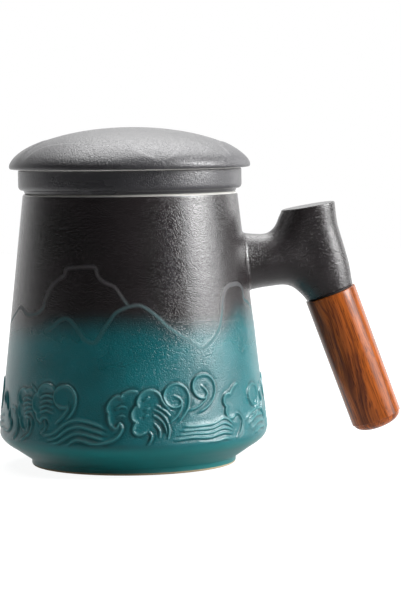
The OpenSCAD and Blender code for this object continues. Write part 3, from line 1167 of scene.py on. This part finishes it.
def remeshed(mesh, voxel, smoothing):
    """One even skin over the mesh's overlapping parts, with its inner corners softened."""
    rough = bpy.data.objects.new("arm_rough", mesh)
    bpy.context.scene.collection.objects.link(rough)
    skin = rough.modifiers.new("Skin", "REMESH")
    skin.mode = "VOXEL"
    skin.voxel_size = voxel
    soften = rough.modifiers.new("Soften", "SMOOTH")
    soften.factor = 0.5
    soften.iterations = smoothing
    flatten = rough.modifiers.new("Flatten", "SMOOTH")
    flatten.factor = 0.5
    flatten.iterations = 3 * smoothing
    flatten.use_x = False
    flatten.use_z = False
    shaped = rough.evaluated_get(bpy.context.evaluated_depsgraph_get())
    bm = bmesh.new()
    bm.from_mesh(shaped.to_mesh())
    shaped.to_mesh_clear()
    bpy.data.objects.remove(rough)
    bpy.data.meshes.remove(mesh)
    return bm


def cut(bm, place, facing):
    """Cuts away what lies beyond a plane, and gives the edges of the cut."""
    sliced = bmesh.ops.bisect_plane(
        bm, geom=bm.verts[:] + bm.edges[:] + bm.faces[:], dist=MM / 1000, plane_co=place,
        plane_no=facing, clear_outer=True,
    )
    return [part for part in sliced["geom_cut"] if isinstance(part, bmesh.types.BMEdge)]


def step_in(bm, edges, centre, facing, radius, out_by, in_to):
    """Extrudes an open edge loop to a ring nearer its centre and further out."""
    grown = bmesh.ops.extrude_edge_only(bm, edges=edges)["geom"]
    verts = [part for part in grown if isinstance(part, bmesh.types.BMVert)]
    for vert in verts:
        flat = vert.co - centre
        flat -= facing * flat.dot(facing)
        vert.co = centre + flat * (in_to / radius) + facing * out_by
    return [part for part in grown if isinstance(part, bmesh.types.BMEdge)]


def rounded_end(bm, edges, centre, facing, radius, edge, steps=5):
    """Closes an open end with an edge rounded to the given radius; centre is on the flat."""
    reach = radius
    for i in range(1, steps + 1):
        turn = pi / 2 * i / steps
        narrow = radius - edge * (1 - cos(turn))
        edges = step_in(bm, edges, centre, facing, reach, edge * (sin(turn) - 1), narrow)
        reach = narrow
    return edges, reach


def off_wall(place):
    """How far a place stands off the mug's outer wall."""
    size = bpy.context.scene.mug_sizes
    slope = (size.belly_radius - size.rim_radius) / (size.height - RIM_EDGE - size.belly_height)
    return Vector(place[:2]).length - size.belly_radius + slope * (place[2] - size.belly_height)


def flare_root(bm, fillet):
    """Smears the clay of the arm's root onto the wall in a hollow fillet."""
    for _ in range(2):
        close = {vert for vert in bm.verts if abs(off_wall(vert.co)) < fillet}
        near = [edge for edge in bm.edges if close.issuperset(edge.verts)]
        bmesh.ops.subdivide_edges(bm, edges=near, cuts=1, use_grid_fill=True)
    for vert in bm.verts:
        gap = off_wall(vert.co)
        if gap < fillet:
            rest = fillet - max(gap, 0)
            away = (vert.co - Vector((vert.co.x, 0, ARM_HEIGHT))).normalized()
            vert.co += away * (fillet - sqrt(fillet**2 - rest**2))


def close_top(bm, size):
    """Cuts the head off flat and rounds its edge."""
    edges = cut(bm, HEAD_TOP - TOP_FACING * TOP_ROUNDING, TOP_FACING)
    edges, reach = rounded_end(bm, edges, HEAD_TOP, TOP_FACING, size.head_radius, TOP_ROUNDING)
    for share in (0.92, 0.6, 0.25):
        inner = size.head_radius * share
        edges = step_in(bm, edges, HEAD_TOP, TOP_FACING, reach, 0, inner)
        reach = inner
    bmesh.ops.contextual_create(bm, geom=edges)


def close_foot(bm, size):
    """Cuts the head's lower face, with its rounded edge and the socket for the stud."""
    edges = cut(bm, HEAD_END - FOOT_FACING * FOOT_ROUNDING, FOOT_FACING)
    edges, reach = rounded_end(
        bm, edges, HEAD_END, FOOT_FACING, size.socket_radius, FOOT_ROUNDING, 3
    )
    mouth = CEMENT_RADIUS + 0.0003
    edges = step_in(bm, edges, HEAD_END, FOOT_FACING, reach, 0, mouth)
    edges = step_in(bm, edges, HEAD_END, FOOT_FACING, mouth, -0.0002, CEMENT_RADIUS)
    edges = step_in(bm, edges, HEAD_END, FOOT_FACING, CEMENT_RADIUS, -SOCKET_DEPTH, CEMENT_RADIUS)
    bmesh.ops.contextual_create(bm, geom=edges)


def build_arm():
    """The clay arm with its head, from tubes under one smoothed skin."""
    size = bpy.context.scene.handle_sizes
    bm = remeshed(blank_arm(size), VOXEL, SMOOTHING)
    widest = max(vert.co.y for vert in bm.verts)
    bmesh.ops.scale(bm, vec=(1, ARM_HIGH.y / widest, 1), verts=bm.verts)
    flare_root(bm, ROOT_FILLET)
    cut(bm, ROOT_CUT, ROOT_FACING)
    root = [edge for edge in bm.edges if edge.is_boundary]
    bmesh.ops.contextual_create(bm, geom=root)
    close_top(bm, size)
    close_foot(bm, size)
    bmesh.ops.recalc_face_normals(bm, faces=bm.faces)
    return finished(bm, "glazed_arm", "mug", [black_glaze()], ["handle_arm"])


def build_grip():
    """The turned grip, with a bore for its thread insert."""
    size = bpy.context.scene.handle_sizes
    top, end = size.grip_radius, size.grip_end_radius
    side, dome = size.grip_length, size.dome_height
    insert, insert_end = 0.0046, 0.014
    run_out, bore_end = 0.0034, 0.024
    crisp = 0.0005
    shoulder = end - crisp
    crown = [
        (shoulder * cos(a) ** 0.8 if a < pi / 2 else 0, side + dome * sin(a))
        for a in np.linspace(0, pi / 2, 19)
    ]
    outline = [
        (0, bore_end), (run_out, bore_end), (run_out, insert_end), (insert, insert_end),
        (insert, 0.0003), (insert + 0.0003, 0),
        *bend((top - crisp, 0), (top, 0), (top, crisp), 4),
        *spaced([(top, crisp), (end, side - 0.0002)], 0.004)[1:],
        (end - 0.0002, side), *crown,
    ]
    bm = turned(outline, 144)
    bmesh.ops.transform(bm, matrix=at_grip() @ Matrix.Translation((0, 0, WASHER)), verts=bm.verts)
    materials = [varnished_wood()]
    return finished(bm, "turned_grip", "grip", materials, ["wooden_grip"], 34)


def build_stud():
    """The stud: a core with a helical thread, and chamfered ends."""
    size = bpy.context.scene.handle_sizes
    half, crest = 0.0135, size.stud_radius
    root = crest - 0.62 * size.thread_pitch
    chamfer = 0.0006
    bm = turned([
        (0, -half), (root - chamfer, -half), (root, -half + chamfer),
        (root, half - chamfer), (root - chamfer, half), (0, half),
    ], 48)
    pitch = size.thread_pitch
    turns = int((2 * half - 2 * chamfer - pitch) / pitch)
    steps = 32
    tooth = [(root - 0.0002, -0.46), (crest, -0.07), (crest, 0.07), (root - 0.0002, 0.46)]
    start = -half + chamfer + pitch / 2
    verts = [bm.verts.new((r, 0, start + share * pitch)) for r, share in tooth]
    face = bm.faces.new(verts)
    bmesh.ops.spin(
        bm, geom=[face], cent=(0, 0, 0), axis=UP, dvec=(0, 0, pitch / steps),
        angle=FULL_TURN * turns, steps=steps * turns,
    )
    bmesh.ops.recalc_face_normals(bm, faces=bm.faces)
    bmesh.ops.transform(bm, matrix=at_grip(), verts=bm.verts)
    return finished(bm, "threaded_stud", "mug", [stainless()], ["grip_stud"], 30)


def build_washer():
    """The soft washer, with its edges rounded."""
    size = bpy.context.scene.handle_sizes
    outer, inner = size.socket_radius - 0.00035, 0.0031
    edge = 0.00012
    bm = turned([
        (inner, 0), (outer - edge, 0), (outer, edge), (outer, WASHER - edge),
        (outer - edge, WASHER), (inner, WASHER),
    ], 96, closed=True)
    bmesh.ops.transform(bm, matrix=at_grip(), verts=bm.verts)
    materials = [washer_rubber()]
    return finished(bm, "soft_washer", "washer", materials, ["grip_washer"])


def dress_fixings():
    """Finishes for the CAD nodes that keep their own shape."""
    for name, material in (("stud_cement", cement()), ("thread_insert", insert_brass())):
        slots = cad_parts[name].data.materials
        slots.clear()
        slots.append(material)


# --- Infuser ------------------------------------------------------------------------------

BASKET_CORNER = 0.005
BASKET_RING = 0.015
COLLAR_GAP = 0.0010
COLLAR_EDGE = 0.0020
SEAT_RADIUS = 0.0388
REST_RADIUS = 0.0396
HOLE_RINGS = 4
RING_PITCH = 0.0054
HOLE_ROWS = 4
FIRST_ROW = 0.009
ROW_PITCH = 0.0065
ROW_HOLES = 20


def infuser_outline(size, rim):
    """Collar, seat and basket in one outline, from the underside to the basket's floor."""
    wall, corner = size.basket_wall, BASKET_CORNER
    base, end = size.basket_height, size.basket_end_radius
    floor = base + wall
    lean = (size.basket_radius - end) / (rim - base)
    collar, top = size.collar_radius, size.collar_top
    collar_base = rim + COLLAR_GAP
    ledge = top - size.seat_depth
    inner, inner_end = size.basket_radius - wall, end - wall
    soft = 0.0004
    return [
        (0, base), (BASKET_RING, base),
        *bend((end - corner, base), (end, base), (end + lean * corner, base + corner)),
        (size.basket_radius, rim), (REST_RADIUS, rim), (REST_RADIUS + soft, collar_base),
        *bend((collar - COLLAR_EDGE, collar_base), (collar, collar_base),
              (collar, collar_base + COLLAR_EDGE)),
        *bend((collar, top - soft), (collar, top), (collar - soft, top), 4),
        *bend((SEAT_RADIUS + soft, top), (SEAT_RADIUS, top), (SEAT_RADIUS, top - soft), 4),
        *bend((SEAT_RADIUS, ledge + soft), (SEAT_RADIUS, ledge), (SEAT_RADIUS - soft, ledge), 4),
        *bend((inner + 0.0008, ledge), (inner, ledge), (inner, ledge - 0.0015), 5),
        *bend((inner_end + lean * corner, floor + corner), (inner_end, floor),
              (inner_end - corner, floor)),
        (BASKET_RING, floor), (0, floor),
    ]


def hole_places(size):
    """A frame for each strainer hole, in the floor and then in the wall."""
    places = []
    middle = size.basket_height + size.basket_wall / 2
    for ring in range(HOLE_RINGS + 1):
        count = max(6 * ring, 1)
        for i in range(count):
            turn = Matrix.Rotation(FULL_TURN * i / count, 4, "Z")
            places.append(turn @ Matrix.Translation((ring * RING_PITCH, 0, middle)))
    for row in range(HOLE_ROWS):
        height = size.basket_height + FIRST_ROW + row * ROW_PITCH
        share = (height - size.basket_height) / (MUG_HIGH.z - size.basket_height)
        across = size.basket_end_radius + share * (size.basket_radius - size.basket_end_radius)
        across -= size.basket_wall / 2
        for i in range(ROW_HOLES):
            turn = Matrix.Rotation(FULL_TURN * (i + row % 2 / 2) / ROW_HOLES, 4, "Z")
            lay = Matrix.Rotation(pi / 2, 4, "Y")
            places.append(turn @ Matrix.Translation((across, 0, height)) @ lay)
    return places


def hole_cutters(size):
    """Flared pins for every strainer hole, as one mesh."""
    radius, reach = size.hole_radius, size.basket_wall
    flare = 0.0003
    pin = turned([
        (0, -reach), (radius + 2 * flare, -reach), (radius + flare, -reach / 2),
        (radius, -reach / 4), (radius, reach / 4), (radius + flare, reach / 2),
        (radius + 2 * flare, reach), (0, reach),
    ], 20)
    blank = bpy.data.meshes.new("hole_pin")
    pin.to_mesh(blank)
    pin.free()
    pins = bmesh.new()
    for place in hole_places(size):
        fresh = len(pins.verts)
        pins.from_mesh(blank)
        pins.verts.ensure_lookup_table()
        bmesh.ops.transform(pins, matrix=place, verts=pins.verts[fresh:])
    bpy.data.meshes.remove(blank)
    return pins


def drilled(bm, cutters):
    """The bmesh with its cutters taken away."""
    parts = []
    for name, part in (("blank", bm), ("pins", cutters)):
        mesh = bpy.data.meshes.new(name)
        part.to_mesh(mesh)
        part.free()
        parts.append(bpy.data.objects.new(name, mesh))
        bpy.context.scene.collection.objects.link(parts[-1])
    drill = parts[0].modifiers.new("Drill", "BOOLEAN")
    drill.operation = "DIFFERENCE"
    drill.solver = "MANIFOLD"
    drill.object = parts[1]
    result = parts[0].evaluated_get(bpy.context.evaluated_depsgraph_get())
    out = bmesh.new()
    out.from_mesh(result.to_mesh())
    result.to_mesh_clear()
    for part in parts:
        mesh = part.data
        bpy.data.objects.remove(part)
        bpy.data.meshes.remove(mesh)
    return out


def build_infuser():
    """The collar and the strainer basket in one piece, glazed white below the collar."""
    size = bpy.context.scene.infuser_sizes
    rim = MUG_HIGH.z
    blank = turned(infuser_outline(size, rim), 240)
    for face in blank.faces:
        middle = face.calc_center_median()
        across = Vector((middle.x, middle.y)).length
        outer_side = middle.z > rim and across > REST_RADIUS
        face.material_index = 0 if outer_side else 1
    materials = (infuser_glaze(), liner_glaze())
    bm = drilled(blank, hole_cutters(size))
    return finished(bm, "strainer", "infuser", materials, ["infuser"], 40)


# --- Lid ----------------------------------------------------------------------------------

LIP_UNDER = 0.1113
# Drops from the crown to the flat that rests on the collar, and to the ring's lower end.
SEAT_DROP = 0.0158
RING_DROP = 0.0204
# Width of the lip that keeps the outer glaze underneath.
GLAZED_LIP = 0.0012
# Distances from the lip, in millimetres, between which the ridges grow.
LIP_FADE = (-0.2, 2.2)
DOME_POWER = 0.6
LID_REPEATS = 3
LID_FADE = 9.0
LID_BEVEL = 1.5
# Ridges on the lid as (degrees round it from the front, distance from its middle in mm).
LID_RIDGES = (
    ((-62, 45.4), (-60, 43.6), (-55, 37.5), (-44, 35.2), (-29, 34.8), (-1, 35.2), (3, 37.4),
     (6, 40.0), (10, 42.4), (14, 44.0), (18, 45.4)),
    ((17, 45.4), (20.6, 43.7), (25.7, 41.1), (32, 37.2), (38, 32.6), (43, 31.2), (47, 33.7),
     (50, 38.6), (53, 42.2), (57, 44.2), (61, 45.4)),
)


def dome(radius, edge_radius, rise):
    """Height of a dome above its edge, at a distance from its middle."""
    return rise * max(0.0, 1 - (radius / edge_radius) ** 2) ** DOME_POWER


def lid_outline(size):
    """The lid's outline from its crown, round the lip and the ring, to the inner crown."""
    rise = size.top - size.lip_height
    ring, seat = size.ring_radius, size.top - SEAT_DROP
    inner = ring - size.ring_thickness
    inner_rise = rise - size.thickness + 0.001
    low = size.top - RING_DROP
    crown = []
    for turn in np.linspace(0, pi / 2, 60):
        across = size.radius * sin(turn)
        crown.append((across, size.lip_height + dome(across, size.radius, rise)))
    under = []
    for turn in np.linspace(pi / 2, 0, 20):
        across = inner * sin(turn)
        rising = dome(across, inner + 0.002, inner_rise)
        under.append((across, size.top - size.thickness - inner_rise + rising))
    lip = size.radius
    soft = 0.0004
    return [
        *spaced(crown, 0.0007),
        *bend((lip, size.lip_height - 0.0002), (lip, LIP_UNDER), (lip - 0.0008, LIP_UNDER), 5),
        *bend((0.0430, seat + 0.0002), (0.0424, seat), (0.0416, seat), 4),
        *bend((ring + soft, seat), (ring, seat), (ring, seat - soft), 4),
        *bend((ring, low + soft), (ring, low), (ring - soft, low), 4),
        *bend((inner + soft, low), (inner, low), (inner, low + soft), 4),
        *under,
    ]


def lid_ridge_lines():
    """The lid's ridges as lines over its plan, in millimetres."""
    drawn = []
    for i in range(LID_REPEATS):
        for ridge in LID_RIDGES:
            polar = flow(ridge, 6)
            angle = FRONT + np.radians(polar[:, 0]) + FULL_TURN * i / LID_REPEATS
            drawn.append(np.column_stack((np.cos(angle), np.sin(angle))) * polar[:, 1:])
    return drawn


def build_lid():
    """The lid with its low mountains, glazed white underneath."""
    size = bpy.context.scene.lid_sizes
    bm = turned(lid_outline(size), 360)
    under_edge = size.radius - GLAZED_LIP
    for face in bm.faces:
        middle = face.calc_center_median()
        across = Vector((middle.x, middle.y)).length
        underside = face.normal.z < 0 and across < under_edge
        on_ring = middle.z < LIP_UNDER and across < size.ring_radius + 0.0001
        face.material_index = 1 if underside or on_ring else 0
    materials = (lid_glaze(), liner_glaze())
    piece = finished(bm, "domed_lid", "lid", materials, ["lid"])
    places = coordinates(piece.data)
    outer = np.flatnonzero((places[:, 2] > size.lip_height) & (point_normals(piece.data)[:, 2] > 0))
    spots = places[outer][:, :2] / MM
    land, _ = mountain_relief(spots, lid_ridge_lines(), fade=LID_FADE, bevel=LID_BEVEL)
    off_lip = size.radius / MM - np.hypot(*spots.T)
    heights = np.zeros(len(places))
    heights[outer] = land * ease(*LIP_FADE, off_lip) * size.ridge_height
    raise_points(piece.data, heights)
    return piece


# --- Stage --------------------------------------------------------------------------------

CAMERA_PLACE = Vector((-0.1012, -0.9067, 0.1247))
CAMERA_DIP = radians(4)
CAMERA_ROLL = radians(0.75)
CAMERA_LENS = 145.02
SENSOR = 36.0
AIM = Vector((0.012, 0, 0.065))
FILL = 0.03
BOUNCE = 0.08
# Brightness of the ceiling in a mirror, and the sines of the heights where it sets in.
CEILING = 0.5
CEILING_BAND = (0.5, 0.9)
FLOOR_RADIUS = 1.6
FLOOR_DROP = MM / 20
# Each lamp's name, side in degrees to the right of the front, height and distance from the
# mug, width and height of its face, and radiance.
LAMPS = (
    ("key_light", 76, 0.34, 0.65, (0.26, 0.46), 13.5),
    ("key_glow", 78, 0.26, 0.65, (0.54, 0.56), 3.6),
    ("side_light", 136, 0.15, 1.0, (0.3, 0.7), 1.6),
    ("top_light", 180, 1.1, 0.34, (1.1, 0.8), 4.2),
    ("back_light", 165, 1.05, 0.95, (1.2, 0.8), 2.2),
)


def add_camera():
    """The camera, level with the lid and looking slightly down."""
    heading = FRONT + pi
    level = cos(CAMERA_DIP)
    forward = Vector((cos(heading) * level, sin(heading) * level, -sin(CAMERA_DIP)))
    right = forward.cross(UP).normalized()
    above = right.cross(forward)
    tilted_right = cos(CAMERA_ROLL) * right - sin(CAMERA_ROLL) * above
    tilted_above = sin(CAMERA_ROLL) * right + cos(CAMERA_ROLL) * above
    turn = Matrix((tilted_right, tilted_above, -forward)).transposed().to_4x4()
    data = bpy.data.cameras.new("camera")
    data.lens = CAMERA_LENS
    data.sensor_width = SENSOR
    data.clip_start = 0.05
    camera = bpy.data.objects.new("camera", data)
    camera.matrix_world = Matrix.Translation(CAMERA_PLACE) @ turn
    bpy.context.scene.collection.objects.link(camera)
    bpy.context.scene.camera = camera


def softbox(name, side, height, away, size, radiance):
    """An area lamp aimed at the mug."""
    data = bpy.data.lights.new(name, "AREA")
    data.shape = "RECTANGLE"
    data.size, data.size_y = size
    data.energy = pi * size[0] * size[1] * radiance
    turn = FRONT + radians(side)
    lamp = bpy.data.objects.new(name, data)
    lamp.location = AIM + Vector((cos(turn) * away, sin(turn) * away, height))
    lamp.rotation_euler = (AIM - lamp.location).to_track_quat("-Z", "Y").to_euler()
    bpy.context.scene.collection.objects.link(lamp)


def add_lamps():
    """Every lamp of the table."""
    for lamp in LAMPS:
        softbox(*lamp)


def set_view():
    """Colours come out as they are written."""
    bpy.context.scene.view_settings.view_transform = "Standard"


def seen_directly(tree):
    """1 for rays from the camera and for rays that mirror or pass on the view."""
    path = node(tree, "ShaderNodeLightPath").outputs
    shown = maths(tree, "ADD", path["Is Camera Ray"], path["Is Glossy Ray"])
    return path["Is Camera Ray"], maths(tree, "ADD", shown, path["Is Transmission Ray"], clamp=True)


def unit_vector(tree, direction):
    """The same direction with length 1."""
    return node(tree, "ShaderNodeVectorMath", {0: direction}, operation="NORMALIZE").outputs[0]


def backdrop_level(tree, direction, dark, white):
    """How bright the studio looks in a mirror: white behind the mug and dark in front."""
    heading = Vector((-cos(FRONT), -sin(FRONT), 0))
    unit = unit_vector(tree, direction)
    behind = node(tree, "ShaderNodeVectorMath", {0: unit, 1: heading}, operation="DOT_PRODUCT")
    return span(tree, behind.outputs["Value"], dark, white, 0.01, 1.0)


def add_world():
    """A white backdrop behind the mug, dark in front of it for reflections, and even fill."""
    world = bpy.data.worlds.new("studio")
    world.use_nodes = True
    bpy.context.scene.world = world
    tree = world.node_tree
    tree.nodes.clear()
    direction = node(tree, "ShaderNodeTexCoord").outputs["Generated"]
    camera, shown = seen_directly(tree)
    axes = node(tree, "ShaderNodeSeparateXYZ", {"Vector": unit_vector(tree, direction)})
    ceiling = span(tree, axes.outputs["Z"], *CEILING_BAND, 0.0, CEILING)
    around = maths(tree, "MAXIMUM", ceiling, backdrop_level(tree, direction, 0.08, 1.0))
    mirrored = maths(tree, "MAXIMUM", camera, around)
    fill = maths(tree, "MULTIPLY", maths(tree, "SUBTRACT", 1.0, shown), FILL)
    level = maths(tree, "ADD", maths(tree, "MULTIPLY", shown, mirrored), fill)
    lit = node(tree, "ShaderNodeBackground", {"Color": (1, 1, 1, 1), "Strength": level})
    node(tree, "ShaderNodeOutputWorld", {"Surface": lit.outputs[0]})


def floor_material():
    """Pale floor that shows white around a soft shadow."""
    material = bpy.data.materials.new("studio_floor")
    material.use_nodes = True
    tree = material.node_tree
    tree.nodes.clear()
    place = object_place(tree)
    camera, shown = seen_directly(tree)
    tone = blend(tree, shown, (0.65, 0.65, 0.65, 1), (0.05, 0.05, 0.05, 1))
    tone = blend(tree, camera, tone, (0.2, 0.2, 0.2, 1))
    pale = node(tree, "ShaderNodeBsdfDiffuse", {"Color": tone})
    away = node(tree, "ShaderNodeVectorMath", {0: place}, operation="LENGTH").outputs["Value"]
    seen = maths(tree, "MULTIPLY", camera, span(tree, away, 0.06, 0.5, 0.93, 1.0))
    near = maths(tree, "MULTIPLY", span(tree, away, 0.11, 0.25, 0.32, 0.0),
                 backdrop_level(tree, place, -1.1, -0.2))
    mirrored = maths(tree, "MAXIMUM", near, backdrop_level(tree, place, -0.7, 0.7))
    strength = maths(tree, "MULTIPLY", shown, maths(tree, "MAXIMUM", seen, mirrored))
    bounce = maths(tree, "MULTIPLY", maths(tree, "SUBTRACT", 1.0, shown), BOUNCE)
    strength = maths(tree, "ADD", strength, bounce)
    glow = node(tree, "ShaderNodeEmission", {"Color": (1, 1, 1, 1), "Strength": strength})
    white = node(tree, "ShaderNodeAddShader", {0: pale.outputs[0], 1: glow.outputs[0]})
    node(tree, "ShaderNodeOutputMaterial", {"Surface": white.outputs[0]})
    return material


def add_floor():
    """The round floor that the mug stands on."""
    bm = bmesh.new()
    bmesh.ops.create_circle(bm, cap_ends=True, segments=96, radius=FLOOR_RADIUS,
                            matrix=Matrix.Translation((0, 0, -FLOOR_DROP)))
    mesh = bpy.data.meshes.new("studio_floor")
    bm.to_mesh(mesh)
    bm.free()
    mesh.materials.append(floor_material())
    floor = bpy.data.objects.new("studio_floor", mesh)
    bpy.context.scene.collection.objects.link(floor)


# --- Operators, panel and registration ----------------------------------------------------


class PieceOperator:
    """What every building operator shares."""

    bl_options = {"REGISTER", "UNDO"}
    steps = ()

    def execute(self, context):
        for step in self.steps:
            step()
        return {"FINISHED"}


class TEAMUG_OT_stage(PieceOperator, bpy.types.Operator):
    """Set up the floor, the soft light and the camera"""

    bl_idname = "teamug.stage"
    bl_label = "Stage"
    steps = (add_world, add_camera, add_floor, add_lamps, set_view)


class TEAMUG_OT_mug(PieceOperator, bpy.types.Operator):
    """Throw the mug with its foot, its wave band and its mountains"""

    bl_idname = "teamug.mug"
    bl_label = "Mug"
    steps = (build_mug,)


class TEAMUG_OT_arm(PieceOperator, bpy.types.Operator):
    """Model the clay arm and the head that holds the grip"""

    bl_idname = "teamug.arm"
    bl_label = "Clay arm"
    steps = (build_arm,)


class TEAMUG_OT_grip(PieceOperator, bpy.types.Operator):
    """Turn the wooden grip"""

    bl_idname = "teamug.grip"
    bl_label = "Wooden grip"
    steps = (build_grip,)


class TEAMUG_OT_fixings(PieceOperator, bpy.types.Operator):
    """Make the stud and the washer, and finish the insert and the cement"""

    bl_idname = "teamug.fixings"
    bl_label = "Grip fixings"
    steps = (build_stud, build_washer, dress_fixings)


class TEAMUG_OT_infuser(PieceOperator, bpy.types.Operator):
    """Make the infuser with its collar and its strainer holes"""

    bl_idname = "teamug.infuser"
    bl_label = "Infuser"
    steps = (build_infuser,)


class TEAMUG_OT_lid(PieceOperator, bpy.types.Operator):
    """Make the domed lid with its low mountains"""

    bl_idname = "teamug.lid"
    bl_label = "Lid"
    steps = (build_lid,)


OPERATORS = (
    TEAMUG_OT_stage,
    TEAMUG_OT_mug,
    TEAMUG_OT_arm,
    TEAMUG_OT_grip,
    TEAMUG_OT_fixings,
    TEAMUG_OT_infuser,
    TEAMUG_OT_lid,
)
SETTINGS = {
    "mug_sizes": MugSizes,
    "handle_sizes": HandleSizes,
    "infuser_sizes": InfuserSizes,
    "lid_sizes": LidSizes,
    "mug_finishes": Finishes,
}


class TEAMUG_PT_panel(bpy.types.Panel):
    """Lists the mug's pieces and their sizes"""

    bl_idname = "TEAMUG_PT_panel"
    bl_label = "Tea Mug"
    bl_space_type = "VIEW_3D"
    bl_region_type = "UI"
    bl_category = "Tea Mug"

    def draw(self, context):
        for operator in OPERATORS:
            self.layout.operator(operator.bl_idname)
        for key in SETTINGS:
            box = self.layout.box()
            group = getattr(context.scene, key)
            for name in group.bl_rna.properties.keys():
                if name not in {"rna_type", "name"}:
                    box.prop(group, name)


def register():
    """Adds the settings, the operators and the panel to Blender."""
    for cls in (*SETTINGS.values(), *OPERATORS, TEAMUG_PT_panel):
        bpy.utils.register_class(cls)
    for key, cls in SETTINGS.items():
        setattr(bpy.types.Scene, key, PointerProperty(type=cls))


def unregister():
    """Takes them away again."""
    for key in SETTINGS:
        delattr(bpy.types.Scene, key)
    for cls in reversed((*SETTINGS.values(), *OPERATORS, TEAMUG_PT_panel)):
        bpy.utils.unregister_class(cls)


def main():
    """Builds every piece in order."""
    register()
    for operator in OPERATORS:
        group, action = operator.bl_idname.split(".")
        getattr(getattr(bpy.ops, group), action)()


if __name__ == "__main__":
    main()
